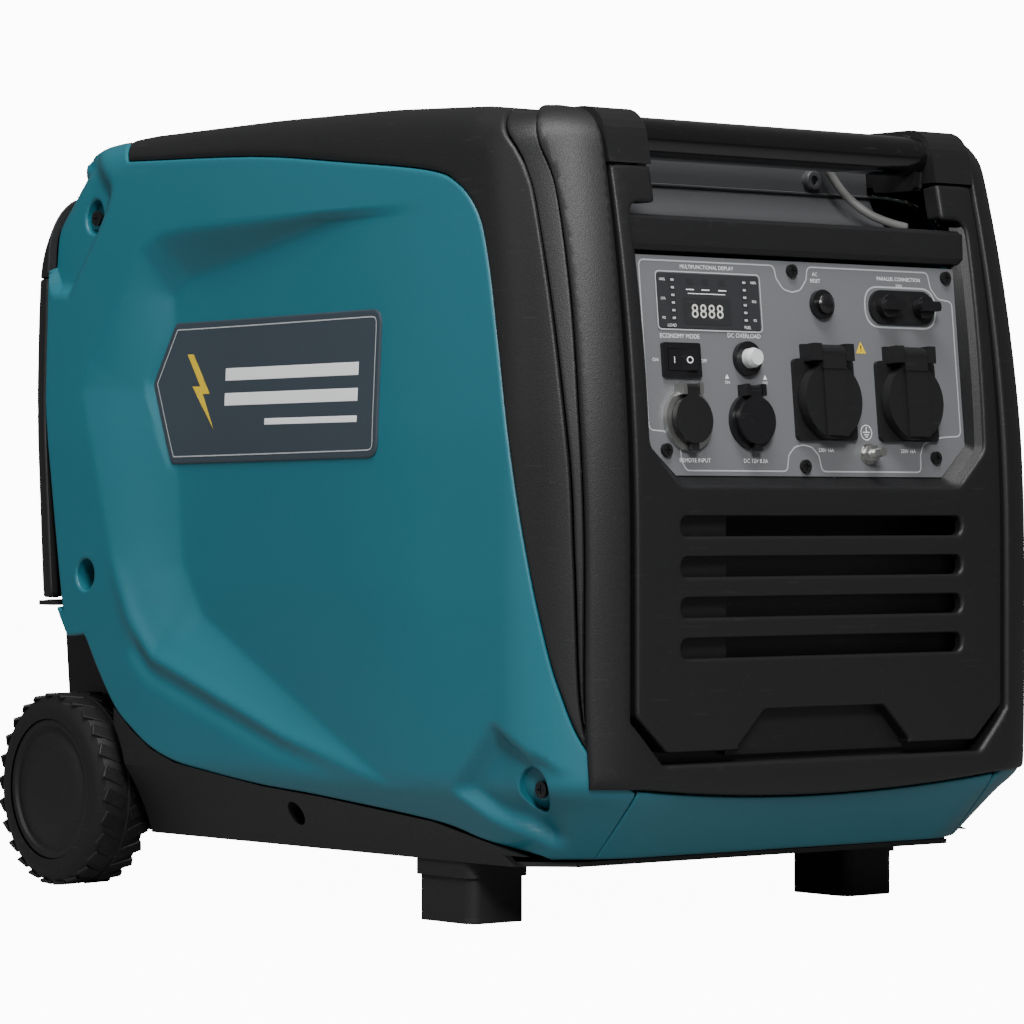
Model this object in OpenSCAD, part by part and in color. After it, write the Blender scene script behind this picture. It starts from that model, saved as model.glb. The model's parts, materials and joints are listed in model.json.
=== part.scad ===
// Closed-frame inverter generator on two wheels and two feet, with a pull-out handle.
// Millimetres. The control panel faces -Y, +Z is up, the origin is under the middle on the floor.

/* [Body] */
// Widest half width of the raised front frame
half_width = 210; // [206:1:214]
// Y of the front frame's upright face
front_y = -302.5; // [-306:0.5:-299]
// Y of the rear wall's furthest point
rear_y = 296; // [293:0.5:299]
// Height of the raised front frame's top
frame_top_z = 493; // [491:0.5:494]
// Height of the crown of the body before the skin is set in
crown_z = 504; // [502:0.5:505]
// Rounding of the upright front corners, seen from above
front_corner_r = 62; // [58:1:66]
// Rounding of the upright rear corners, seen from above
rear_corner_r = 48; // [44:1:50]
// How far the covers are set in behind the raised frame
skin = 4; // [3.5:0.1:4.5]
// Wall thickness of the moulded covers
wall = 3; // [2.5:0.1:3.5]
// Gap between neighbouring covers
gap = 0.8; // [0.6:0.1:1]
// Radius of the arc by which the front leans back above its upright part
lean_r = 1000; // [950:10:1100]

/* [Control panel] */
// Backward lean of the control plate in degrees
panel_lean = 5.5; // [5:0.1:6]
// Y of the control plate's face at its middle
panel_y = -283.5; // [-284:0.1:-283]
// Height of the control plate's middle
panel_z = 337; // [336:0.5:338]
// Side of a mains socket flange
socket_side = 50; // [49:0.5:51]
// Height of the cooling slots in the bezel
slot_h = 12; // [10:0.5:13]
// Half length of the cooling slots
slot_half = 117; // [112:1:120]

/* [Handle] */
// Radius of the handle's cross tube
handle_r = 12.5; // [12:0.1:12.8]
// Radius of the two rails
rail_r = 10; // [9.5:0.1:10]
// Distance of a rail from the middle
rail_x = 130; // [129:0.5:131]
// Height of the cross tube and rails
handle_z = 474; // [473.5:0.1:474.5]
// How far the handle pulls out
handle_travel = 300; // [280:5:300]

/* [Wheels] */
// Radius of the tyres, which is also the axle's height
wheel_r = 64.4; // [63.5:0.1:65]
// Y of the axle
axle_y = 226; // [224:0.5:227]
// X of a wheel's outer face
wheel_outer_x = 215; // [213:0.5:216]
// Width of a tyre
tyre_w = 41; // [39:0.5:41]
// Radius of the axle
axle_r = 8; // [7.5:0.1:8.2]

/* [Engine] */
// Height of the crankshaft
crank_z = 152; // [151:0.5:153]
// Radius of the crankshaft
crank_r = 12; // [11:0.5:13]
// Outer radius of the rotor bell
rotor_r = 95; // [90:1:96]
// Radius of the recoil pulley's rope groove
pulley_r = 53.5; // [53:0.1:53.5]

/* [Hidden] */
$fn = 48;
teal = [0.15, 0.42, 0.48];
black = [0.11, 0.11, 0.12];
grey = [0.36, 0.37, 0.39];
fit = 0.05;
tiny = 0.4;
inner = skin + wall;
far = 320;
lean_z = 230;
bottom_z = 34;

// ---- Outlines of the body ----

function lean_y(z) = z < lean_z ? front_y : front_y + pow(z - lean_z, 2) / (2 * lean_r);
function arc(c, r, a0, a1, n) =
  [for (i = [0:n]) c + r * [cos(a0 + (a1 - a0) * i / n), sin(a0 + (a1 - a0) * i / n)]];

// Seen from the side: Y and Z
side_outline = concat(
  [[axle_y + 34, bottom_z], [-264, bottom_z], [front_y, 83]],
  [for (z = [lean_z:30:440]) [lean_y(z), z]],
  arc([lean_y(470) + 22, frame_top_z - 22], 22, 172, 90, 6),
  [[-212, frame_top_z], [-203, crown_z - 7], [-100, crown_z - 1.5], [20, crown_z], [160, crown_z - 1]],
  [[216, crown_z - 5], [228, crown_z - 13], [rear_y - 4, 424], [rear_y, 412]],
  [[rear_y, 380], [rear_y - 2, 330], [rear_y - 15, 190], [rear_y - 26, 80]]
);

// Seen from the front: X and Z, right half, mirrored for the left
half_outline = concat(
  [[184, bottom_z], [half_width - 1, 83], [half_width, 200], [half_width - 2, 300]],
  [[half_width - 7, 400], [half_width - 10, 455]],
  arc([172, crown_z - 28], 28, 0, 90, 6)
);
front_outline = concat(
  half_outline,
  [for (i = [len(half_outline) - 1:-1:0]) [-half_outline[i][0], half_outline[i][1]]]
);

// Seen from above
module plan_outline() {
  union() {
    for (s = [-1, 1]) {
      translate([s * (half_width - front_corner_r), front_y + front_corner_r]) circle(r=front_corner_r, $fn=64);
      translate([s * (half_width - rear_corner_r), rear_y - rear_corner_r]) circle(r=rear_corner_r, $fn=64);
    }
    translate([-half_width + front_corner_r, front_y])
      square([2 * (half_width - front_corner_r), rear_y - front_y]);
    translate([-half_width, front_y + front_corner_r])
      square([2 * half_width, rear_y - front_y - front_corner_r - rear_corner_r]);
  }
}

module extrude_x(x0, x1) {
  translate([x0, 0, 0]) rotate([90, 0, 90]) linear_extrude(x1 - x0) children();
}

module extrude_y(y0, y1) {
  translate([0, y1, 0]) rotate([90, 0, 0]) linear_extrude(y1 - y0) children();
}

// The whole body, set in by a distance
module envelope(inset) {
  difference() {
    intersection() {
      extrude_x(-far, far) offset(delta=-inset) polygon(side_outline);
      extrude_y(-far, far) offset(delta=-inset) polygon(front_outline);
      linear_extrude(2 * far) offset(delta=-inset) plan_outline();
    }
    for (s = [-1, 1]) translate([s * (half_width - front_corner_r), front_y + front_corner_r, 0]) difference() {
      translate([s > 0 ? 0 : -far, -far, 0]) cube([far, far, 82]);
      translate([0, 0, 82 - 60]) cylinder(h=61, r1=front_corner_r - inset - 32, r2=front_corner_r - inset + 0.7, $fn=64);
    }
  }
}

module shell(outer, deep) {
  difference() {
    envelope(outer);
    envelope(deep);
  }
}

module cyl_x(x0, x1, y, z, r) {
  translate([x0, y, z]) rotate([0, 90, 0]) cylinder(h=x1 - x0, r=r);
}

module cyl_y(y0, y1, x, z, r) {
  translate([x, y0, z]) rotate([-90, 0, 0]) cylinder(h=y1 - y0, r=r);
}

module box(x0, x1, y0, y1, z0, z1) {
  translate([x0, y0, z0]) cube([x1 - x0, y1 - y0, z1 - z0]);
}

module rounded_rect(w, h, r) {
  offset(r=r) square([w - 2 * r, h - 2 * r], center=true);
}

// A child built for the right side, or its mirror image on the left
module on_side(s) {
  if (s > 0) children();
  else mirror([1, 0, 0]) children();
}

// ---- Side covers ----

// Lower edge of a side cover, from the front to above the wheel
cover_low = [
  [-240, 42.5], [-238, 46], [-162, 63], [-55, 73], [4, 77], [95, 88], [122, 96], [143, 107],
  [163, 121], [182, 144], [200, 168], [219, 166.5], [236, 191]
];
// Front and top edge of a side cover, from the bumper to the rear
cover_front = [
  [-300, 86], [-293, 96], [-285, 118], [-278, 142], [-271, 169], [-256, 236], [-241, 304],
  [-229, 358], [-219, 399], [-210, 425], [-190, 444], [-160, 455], [-70, 467], [19, 476],
  [140, 481], [165, 483]
];
cover_outline = concat(
  [[-far, 42.5]], cover_low, [[250, 325], [253, 408], [253, 470], [228, crown_z], [188, crown_z]],
  [for (i = [len(cover_front) - 1:-1:0]) cover_front[i]], [[-far, 86]]
);
// Raised middle field of a side cover
field_outline = [
  [-60, 434], [100, 401], [120, 388], [102, 218], [81, 181], [-119, 88], [-180, 96], [-212, 190],
  [-205, 300], [-190, 400], [-150, 436]
];
// Middles of the three screw pockets of a side cover, with their radii
cover_pockets = [[-257, 86, 13.5], [197, 208, 10.5], [208, 446, 10.5]];
pocket_floor_x = 184;
top_seam_x = 178;
seam_x = 149.5;

module screw_pocket(p) {
  difference() {
    cyl_x(pocket_floor_x, half_width, p[0], p[1], p[2] + wall);
    cyl_x(pocket_floor_x + wall, far, p[0], p[1], p[2]);
    cyl_x(pocket_floor_x - 1, far, p[0], p[1], 3);
  }
}

module side_cover(s) {
  color(teal) on_side(s) difference() {
    union() {
      intersection() {
        shell(skin, inner);
        difference() {
          extrude_x(140, far) offset(delta=-gap / 2) polygon(cover_outline);
          box(0, top_seam_x, -210, far, 0, far * 2);
          box(0, seam_x, -far, -250, 0, far * 2);
        }
      }
      intersection() {
        extrude_x(196, half_width - 1.5) polygon(field_outline);
        translate([-2.5, 0, 0]) envelope(0);
      }
      intersection() {
        for (p = cover_pockets) screw_pocket(p);
        envelope(skin);
        extrude_x(140, far) offset(delta=-gap / 2) polygon(cover_outline);
      }
    }
    for (p = cover_pockets) cyl_x(pocket_floor_x + wall, far, p[0], p[1], p[2]);
    if (s > 0) recoil_opening(0);
  }
}

module left_side_cover() { side_cover(-1); }

module right_side_cover() { side_cover(1); }

// ---- Recoil plate on the right side ----

recoil_y = -165;
rope_z = crank_z + pulley_r + 2.5;
recoil_mid = [-158, 222];

module recoil_opening(grow) {
  extrude_x(150, far) translate(recoil_mid) rounded_rect(130 + 2 * grow, 110 + 2 * grow, 14);
}

grip_mid_z = rope_z;
knob_y = -128;
knob_z = 252;

module recoil_bezel() {
  color(black) difference() {
    union() {
      intersection() {
        shell(skin, inner + 2);
        recoil_opening(-gap);
      }
      box(170, 200, recoil_y - 44, recoil_y + 44, grip_mid_z - 25, grip_mid_z + 25);
    }
    box(173, far, recoil_y - 41, recoil_y + 41, grip_mid_z - 22, grip_mid_z + 22);
    cyl_x(160, 190, recoil_y, rope_z, 3.2);
    cyl_x(190, far, knob_y, knob_z, 4 + fit);
  }
}

module recoil_grip() {
  color(black) {
    difference() {
      extrude_x(184, 200) translate([recoil_y, grip_mid_z]) rounded_rect(62, 22, 10);
      for (s = [-1, 1]) cyl_x(180, 210, recoil_y + s * 16, grip_mid_z, 4);
    }
    cyl_x(-105, 184, recoil_y, rope_z, 2);
  }
}

module recoil_pulley() {
  color("dimgray") difference() {
    union() {
      cyl_y(recoil_y - 6, recoil_y - 2.6, 0, crank_z, pulley_r + 7);
      cyl_y(recoil_y - 6, recoil_y + 6, 0, crank_z, pulley_r);
      cyl_y(recoil_y + 2.6, recoil_y + 6, 0, crank_z, pulley_r + 7);
    }
    cyl_y(recoil_y - 7, recoil_y + 7, 0, crank_z, 10 + fit);
  }
}

shroud_r = 101;

module recoil_housing() {
  color(black) difference() {
    union() {
      cyl_y(recoil_y - 17, -60, 0, crank_z, shroud_r);
    }
    difference() {
      cyl_y(recoil_y - 14, -50, 0, crank_z, shroud_r - 3);
      cyl_y(recoil_y - 15, recoil_y + 9, 0, crank_z, 10);
    }
    cyl_x(-far, far, recoil_y, rope_z, 4);
    for (a = [22.5:45:360]) translate([0, -200, crank_z]) rotate([0, a, 0])
      translate([82, 0, 0]) rotate([-90, 0, 0]) cylinder(h=40, r=10);
  }
}

module engine_knob() {
  color(black) {
    cyl_x(196, 207, knob_y, knob_z, 4);
    difference() {
      cyl_x(207, 213, knob_y, knob_z, 15);
      for (a = [0, 180])
        translate([210, knob_y, knob_z]) rotate([a, 0, 0]) translate([0, 4, -20]) cube([10, 20, 40]);
    }
  }
}

// ---- Bumper, tray and panels ----

// Upper edge of the bumper: lowest in the middle
function bumper_top(x) = 77 + 8.5 * pow(x / seam_x, 2);
bumper_line = [for (x = [-150:25:150]) [x, bumper_top(x)]];

module front_bumper() {
  color(teal) intersection() {
    shell(skin, inner);
    extrude_y(-far, -232) polygon(concat(
      [[-seam_x + gap, 42.5]], [[-seam_x + gap, 85]], [for (i = [1:len(bumper_line) - 2]) bumper_line[i]],
      [[seam_x - gap, 85]], [[seam_x - gap, 42.5]]
    ));
  }
}

tray_outline = concat(
  [[-250, 20], [-250, 41.5], [-241, 41.5]],
  [for (p = cover_low) p + [gap, -gap]],
  [[far, 191 - gap], [far, 20]]
);
well_r = 77;
well_x = 169;
arch_top = 187;
tray_pocket = [-21, 60];
foot_x = 156;
foot_y = -151;
mount_x = 62;
mount_y = 38;

// Side view of the space round a wheel
module wheel_space(grow) {
  intersection() {
    offset(delta=grow) union() {
      translate([axle_y, wheel_r]) circle(r=well_r);
      translate([axle_y - 62, wheel_r]) square([200, arch_top - wheel_r]);
    }
    translate([0, -far]) square([2 * far, 3 * far]);
  }
}

module base_tray() {
  color(black) difference() {
    union() {
      intersection() {
        shell(skin, inner);
        extrude_x(-far, far) polygon(tray_outline);
      }
      for (s = [-1, 1]) on_side(s) intersection() {
        extrude_x(well_x - wall, far) wheel_space(wall);
        envelope(skin);
        extrude_x(-far, far) polygon(tray_outline);
      }
      for (s = [-1, 1]) on_side(s) intersection() {
        cyl_x(176, 196, tray_pocket[0], tray_pocket[1], 10);
        envelope(skin);
        extrude_x(-far, far) polygon(tray_outline);
      }
    }
    for (s = [-1, 1]) on_side(s) {
      extrude_x(well_x, far) wheel_space(0);
      cyl_x(179, far, tray_pocket[0], tray_pocket[1], 7.5);
      cyl_x(170, far, tray_pocket[0], tray_pocket[1], 3);
      translate([0, 0, 184.5]) linear_extrude(20)
        polygon([[230, 228], [178, 280], [178, far], [far, far], [far, 228]]);
      linear_extrude(45) polygon([[194, -208], [154, -248], [154, -far], [far, -far], [far, -208]]);
    }
    cyl_x(-far, far, axle_y, wheel_r, axle_r);
  }
}

rear_outline = [
  [236 + gap, 191], [250 + gap, 325], [253 + gap, 408], [253 + gap, 409], [far, 409], [far, 191]
];
outlet_x = 60;
outlet_z = 205;
outlet_r = 34;

module rear_panel() {
  color(black) difference() {
    intersection() {
      shell(skin, inner);
      extrude_x(-far, far) polygon(rear_outline);
    }
    cyl_y(200, far, outlet_x, outlet_z, 24);
    for (z = [268:16:364], x = [-84, 0, 84])
      extrude_y(200, far) translate([x, z]) rounded_rect(58, 6, 2.9);
  }
}

module exhaust_guard() {
  guard_y = rear_y - 16;
  color("dimgray") difference() {
    union() {
      intersection() {
        cyl_y(guard_y, 302.5, outlet_x, outlet_z, outlet_r);
        extrude_x(-far, far) polygon([[guard_y, 160], [302.5, 160], [302.5, 250], [rear_y - 10.5, 250]]);
      }
    }
    cyl_y(200, 299, outlet_x, outlet_z, 23);
    for (x = [-14, -4.5, 5]) box(outlet_x + x, outlet_x + x + 5.5, 298, far, outlet_z - 14, outlet_z + 14);
    difference() {
      envelope(skin - 0.1);
      cyl_y(0, far, outlet_x, outlet_z, 23.8);
    }
  }
}

shell_seam = [
  [-290, 104], [-286, 140], [-284, 220], [-280, 286], [-266, 370], [-250, 434], [-238, 461],
  [-224, 478], [-207, crown_z]
];

module side_shell(s) {
  color(black) on_side(s) intersection() {
    shell(skin, inner);
    difference() {
      extrude_x(150, far) offset(delta=-gap / 2) polygon(concat(
        shell_seam, [[188, crown_z]],
        [for (i = [len(cover_front) - 1:-1:2]) cover_front[i]]
      ));
      box(0, 172, -far, far, 0, 2 * far);
    }
  }
}

module left_side_shell() { side_shell(-1); }

module right_side_shell() { side_shell(1); }

cap_y = 95;
cap_well_r = 46;

module top_cover() {
  color(black) difference() {
    union() {
      intersection() {
        shell(skin, inner);
        union() {
          box(-172 + gap, 172 - gap, -206, 188, 440, 2 * far);
          box(-top_seam_x + gap, top_seam_x - gap, 188, far, 409 + gap, 2 * far);
          extrude_x(-far, far) polygon([
            [253 + gap, 409 + gap], [253 + gap, 470], [228 + 2 * gap, crown_z], [far, crown_z], [far, 409 + gap]
          ]);
        }
      }
      translate([0, cap_y, 470]) cylinder(h=crown_z - skin - 1 - 470, r=cap_well_r + wall);
    }
    translate([0, cap_y, 470 + wall]) cylinder(h=60, r=cap_well_r);
    translate([0, cap_y, 400]) cylinder(h=100, r=39);
  }
}

// ---- Front cowl and bezel ----

opening_x = 156;
ring_outline = [
  [-far, 70], [-far, 500], [-222, 500], [-250, 468], [-262, 440], [-276, 380], [-287, 300],
  [-291, 230], [-291, 70]
];

module cowl_opening() {
  polygon([[-opening_x, 2 * far], [-opening_x, 124], [-131, 99], [131, 99], [opening_x, 124], [opening_x, 2 * far]]);
}

module front_cowl() {
  lip = concat(
    [for (x = [-150:25:150]) [x, bumper_top(x) + gap]],
    [[far, 87], [far, 2 * far], [-far, 2 * far], [-far, 87]]
  );
  color(black) difference() {
    union() {
      intersection() {
        shell(0, inner);
        extrude_x(-far, far) polygon(ring_outline);
      }
      intersection() {
        shell(skin, inner);
        extrude_x(-far, far) polygon(concat(
          [[-far, 70], [-290 - gap, 70]], [for (p = shell_seam) p - [gap, 0]], [[-far, crown_z]]
        ));
      }
    }
    extrude_y(-far, -200) cowl_opening();
    for (s = [-1, 1]) on_side(s) extrude_x(seam_x, far) offset(delta=gap / 2) polygon(cover_outline);
    difference() {
      extrude_y(-2 * far, 0) square([4 * far, 4 * far], center=true);
      extrude_y(-2 * far, 0) polygon(lip);
    }
  }
}

module on_panel(x, v, w) {
  translate([0, panel_y, panel_z]) rotate([90 - panel_lean, 0, 0]) translate([x, v, w]) children();
}

plate_outline = [[-134, 66], [-134, -46], [-112, -66], [110, -66], [132, -46], [132, 66]];
bezel_x = 152;
bezel_skin = 1.5;
cheek_x = 119;
cheek_z = 456;
step_z = 433;
recess_x = 140.5;
bezel_outline = [
  [-bezel_x, cheek_z], [-bezel_x, 128], [-128, 107], [128, 107], [bezel_x, 128], [bezel_x, cheek_z],
  [cheek_x, cheek_z], [cheek_x, step_z], [-cheek_x, step_z], [-cheek_x, cheek_z]
];
recess_outline = [
  [-recess_x, 110], [-recess_x, -50], [-117, -73], [115, -73], [recess_x - 2, -50], [recess_x, 110]
];
// Bar above the control plate, seen from the side
ledge_outline = [
  [-276.5, 427], [-278.6, 424.5], [-280.6, 409], [-279.5, 405.5], [-272, 405.5], [-268.5, 421], [-268.5, 426]
];

module slots() {
  for (i = [0:3]) translate([0, 168.5 + 24.2 * i]) rounded_rect(2 * slot_half, slot_h, slot_h / 2 - 0.5);
}

finger_outline = [[-71, 104], [-71, 110], [-50, 131], [50, 131], [71, 110], [71, 104]];

module front_bezel() {
  color(black) difference() {
    union() {
      difference() {
        intersection() {
          shell(bezel_skin, inner);
          extrude_y(-far, -232) polygon(bezel_outline);
        }
        on_panel(0, 0, -20) linear_extrude(60) polygon(recess_outline);
      }
      intersection() {
        on_panel(0, 0, -wall) linear_extrude(30) difference() {
          offset(delta=3) polygon(recess_outline);
          polygon(recess_outline);
        }
        envelope(bezel_skin + 0.5);
        extrude_y(-far, -232) polygon(bezel_outline);
      }
      intersection() {
        on_panel(0, 0, -wall) linear_extrude(wall) polygon(recess_outline);
        extrude_y(-far, -232) polygon(bezel_outline);
        box(-far, far, -far, 0, 0, 427);
      }
      intersection() {
        extrude_y(-295, -282) offset(delta=2.5) polygon(finger_outline);
        envelope(bezel_skin + 0.5);
        extrude_y(-far, -232) polygon(bezel_outline);
      }
      grille_back();
    }
    on_panel(0, 0, -5) linear_extrude(60) offset(delta=tiny) polygon(plate_outline);
    extrude_y(-far, -280) slots();
    extrude_y(-far, -285) polygon(finger_outline);
  }
  color(black) extrude_x(-recess_x, recess_x) polygon(ledge_outline);
}

// Frame and shallow left end behind the slots
module grille_back() {
  difference() {
    extrude_y(-296, -287) translate([0, 204]) rounded_rect(2 * slot_half + 16, 104, 4);
    extrude_y(-300, -280) translate([21, 204]) rounded_rect(2 * slot_half - 46, 96, 4);
    extrude_y(-300, -290) translate([0, 204]) rounded_rect(2 * slot_half + 8, 96, 4);
  }
}

module handle_pocket() {
  scoop = concat(
    [[-267.5, 428], [-260, 425.5], [-248, 424]],
    [[-236, 427], [-226, 434], [-220, 444], [-217, 456], [-216, 470]]
  );
  color([0.2, 0.2, 0.21]) extrude_x(-cheek_x + 1, cheek_x - 1) polygon(concat(
    scoop, [[-212.5, 470], [-213.5, 455], [-216.5, 442.5], [-223.5, 431.5], [-234.5, 423.7]],
    [[-247.5, 420.5], [-261, 421.8], [-267.5, 424]]
  ));
}

module side_badges() {
  color([0.2, 0.22, 0.25]) for (s = [-1, 1]) on_side(s)
    extrude_x(half_width - 1.5, half_width - 0.3) badge_outline(s);
}

module badge_outline(s) {
  d = s < 0 ? 0 : 15;
  offset(r=3) offset(delta=-3)
    polygon([[140 + d, 334], [117 + d, 374], [-122 + d, 375], [-122 + d, 282], [117 + d, 281]]);
}

// ---- Fasteners ----

plate_screws = [[-8, 60], [124, 60], [-119, -51], [-7, -60], [105, -54]];

module pan_screw(head_r) {
  difference() {
    union() {
      cylinder(h=2.4, r=head_r);
      translate([0, 0, -8]) cylinder(h=8.2, r=head_r * 0.45);
    }
    translate([-0.5, -head_r * 0.6, 1.2]) cube([1, head_r * 1.2, 3]);
    translate([-head_r * 0.6, -0.5, 1.2]) cube([head_r * 1.2, 1, 3]);
  }
}

module case_screws() {
  color("dimgray") {
    for (s = [-1, 1]) on_side(s) {
      for (p = cover_pockets)
        translate([pocket_floor_x + wall, p[0], p[1]]) rotate([0, 90, 0]) pan_screw(5);
      translate([179, tray_pocket[0], tray_pocket[1]]) rotate([0, 90, 0]) pan_screw(5);
    }
    for (p = plate_screws) on_panel(p[0], p[1], 0) pan_screw(4);
  }
}

// ---- Control panel and what it carries ----

display_at = [-77, 39];
rocker_at = [-103, 3];
breaker_at = [-50, 5];
reset_at = [15, 40];
parallel_at = [83.5, 40];
remote_at = [-101, -33];
dc_at = [-50, -33];
socket_at = [[12, -19], [82, -19]];
earth_at = [47, -52];
plate_t = 2.5;

module control_panel() {
  color(grey) on_panel(0, 0, -plate_t) difference() {
    linear_extrude(plate_t) polygon(plate_outline);
    translate([display_at[0], display_at[1], -1]) linear_extrude(10) square([50, 18], center=true);
    translate([rocker_at[0], rocker_at[1], -1]) linear_extrude(10) square([26, 17], center=true);
    translate([breaker_at[0], breaker_at[1], -1]) cylinder(h=10, r=8);
    translate([reset_at[0], reset_at[1], -1]) cylinder(h=10, r=8);
    for (s = [-1, 1]) translate([parallel_at[0] + s * 15.5, parallel_at[1], -1]) cylinder(h=10, r=7.5);
    translate([remote_at[0], remote_at[1], -1]) cylinder(h=10, r=15);
    translate([dc_at[0], dc_at[1], -1]) cylinder(h=10, r=15);
    for (p = socket_at) translate([p[0], p[1], -1]) cylinder(h=10, r=21.5);
    translate([earth_at[0], earth_at[1], -1]) cylinder(h=10, r=3);
    for (p = plate_screws) translate([p[0], p[1], -1]) cylinder(h=10, r=1.8);
  }
}

module display_module() {
  color([0.15, 0.16, 0.17]) on_panel(display_at[0], display_at[1], 0) {
    translate([0, 0, -14]) linear_extrude(14.6) square([49.6, 17.6], center=true);
    linear_extrude(0.6) difference() {
      rounded_rect(82, 33, 2);
      square([49.6, 17.6], center=true);
    }
  }
}

module economy_switch_frame() {
  color(black) on_panel(rocker_at[0], rocker_at[1], 0) difference() {
    union() {
      linear_extrude(2.5) rounded_rect(30, 21, 1.5);
      translate([0, 0, -18]) linear_extrude(18) square([25.6, 16.6], center=true);
    }
    translate([0, 0, -10]) linear_extrude(20) square([23.4, 13.4], center=true);
    translate([0, 8, -3]) rotate([90, 0, 0]) cylinder(h=16, r=1.2 + fit);
  }
}

rocker_tilt = 8;

module economy_rocker() {
  color("black") on_panel(rocker_at[0], rocker_at[1], -3) rotate([0, -rocker_tilt, 0]) {
    rotate([90, 0, 0]) translate([0, 0, -6.4]) linear_extrude(12.8)
      polygon([[-10.4, -4], [-10.4, 7.2], [0, 5.6], [10.4, 7.2], [10.4, -4]]);
    translate([0, 7.8, 0]) rotate([90, 0, 0]) cylinder(h=15.6, r=1.2);
  }
}

module bush(flange_r, bore_r) {
  difference() {
    union() {
      cylinder(h=3.5, r=flange_r);
      translate([0, 0, -12]) cylinder(h=12.5, r=7.8);
    }
    translate([0, 0, -8]) cylinder(h=20, r=bore_r);
  }
}

module breaker_bushes() {
  color(black) {
    on_panel(reset_at[0], reset_at[1], 0) bush(9, 6 + fit);
    on_panel(breaker_at[0], breaker_at[1], 0) bush(10.5, 6 + fit);
  }
}

module ac_reset_button() {
  color("black") on_panel(reset_at[0], reset_at[1], 0) {
    translate([0, 0, -4]) cylinder(h=10, r=6);
    translate([0, 0, 6]) rotate_extrude() intersection() {
      translate([0, -7]) circle(r=9.22);
      square([6, 10]);
    }
  }
}

module dc_breaker_button() {
  color("white") on_panel(breaker_at[0], breaker_at[1], 0) {
    translate([0, 0, -4]) cylinder(h=12, r=6);
    translate([0, 0, 8]) cylinder(h=3, r1=6, r2=4.8);
  }
}

cap_step = 15.5;

module parallel_terminals() {
  color(black) on_panel(parallel_at[0], parallel_at[1], 0) difference() {
    union() {
      linear_extrude(2) rounded_rect(55, 21, 10);
      for (s = [-1, 1]) translate([s * cap_step, 0, -16]) cylinder(h=17, r=7.3);
    }
    for (s = [-1, 1]) translate([s * cap_step, 0, -13]) cylinder(h=20, r=3.9 + fit);
  }
}

module parallel_cap(s) {
  color("black") on_panel(parallel_at[0] + s * cap_step, parallel_at[1], 0) {
    translate([0, 0, -12]) cylinder(h=14.4, r=3.9);
    translate([0, 0, 2.4]) cylinder(h=6, r=7);
    translate([0, 0, 8.4]) linear_extrude(4) rounded_rect(17, 6, 2);
  }
}

module parallel_cap_left() { parallel_cap(-1); }

module parallel_cap_right() { parallel_cap(1); }

// A round inlet with a hinge pin above it
flap_pin_v = 19;
flap_pin_w = 6;

module round_inlet(flange_r, deep) {
  difference() {
    union() {
      cylinder(h=3.5, r=flange_r);
      translate([0, 0, -deep]) cylinder(h=deep + 1, r=14.6);
      for (s = [-1, 1]) translate([s * 6.5 - 1.5, 14.9, 0]) cube([3, 7.1, 8.5]);
    }
    translate([0, 0, -deep + 3]) cylinder(h=deep + 10, r=11);
  }
  translate([-7.5, flap_pin_v, flap_pin_w]) rotate([0, 90, 0]) cylinder(h=15, r=1.3);
}

module round_flap(r) {
  difference() {
    union() {
      translate([0, 0, 4]) cylinder(h=4, r=r);
      translate([-4.4, r - 4, 4]) cube([8.8, flap_pin_v - r + 4, 4]);
      translate([-4.4, flap_pin_v, flap_pin_w]) rotate([0, 90, 0]) cylinder(h=8.8, r=2.4);
      translate([-3, -r - 4, 4.5]) cube([6, 8, 2.5]);
    }
    translate([-6, flap_pin_v, flap_pin_w]) rotate([0, 90, 0]) cylinder(h=12, r=1.3 + fit);
  }
}

module remote_inlet() {
  color("silver") on_panel(remote_at[0], remote_at[1], 0) round_inlet(18.5, 30);
}

module remote_inlet_flap() {
  color(grey) on_panel(remote_at[0], remote_at[1], 0) round_flap(14.5);
}

module dc_socket() {
  color(black) on_panel(dc_at[0], dc_at[1], 0) {
    round_inlet(17, 38);
    translate([0, 0, -35]) cylinder(h=20, r=2.5);
  }
}

module dc_socket_flap() {
  color(black) on_panel(dc_at[0], dc_at[1], 0) round_flap(14.5);
}

lid_pin_v = 28;
lid_pin_w = 8.5;

module ac_sockets() {
  color(black) for (p = socket_at) on_panel(p[0], p[1], 0) {
    difference() {
      union() {
        linear_extrude(3) rounded_rect(socket_side, socket_side, 3);
        linear_extrude(3) translate([0, 28]) square([34, 12], center=true);
        translate([0, 0, -34]) cylinder(h=36, r=21);
        for (s = [-1, 1]) translate([s * 13.5 - 3.5, 23, 2]) cube([7, 10.5, 11]);
      }
      translate([0, 0, -17.5]) cylinder(h=30, r=19.5);
      for (s = [-1, 1]) translate([s * 9.5, 0, -30]) cylinder(h=30, r=2.4);
    }
    translate([-16, lid_pin_v, lid_pin_w]) rotate([0, 90, 0]) cylinder(h=32, r=1.5);
  }
}

module socket_lid(p) {
  color(black) on_panel(p[0], p[1], 0) difference() {
    union() {
      translate([0, -1, 3.4]) cylinder(h=7, r=23.5);
      translate([-9, -23, 3.4]) cube([18, 46, 9]);
      translate([-9.6, 18, 3.4]) cube([19.2, lid_pin_v - 18, 9.6]);
      translate([-9.6, lid_pin_v, lid_pin_w]) rotate([0, 90, 0]) cylinder(h=19.2, r=4.8);
    }
    translate([-10, lid_pin_v, lid_pin_w]) rotate([0, 90, 0]) cylinder(h=20, r=1.5 + fit);
    translate([0, -1, 2]) cylinder(h=5, r=18);
  }
}

module socket_lid_left() { socket_lid(socket_at[0]); }

module socket_lid_right() { socket_lid(socket_at[1]); }

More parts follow.
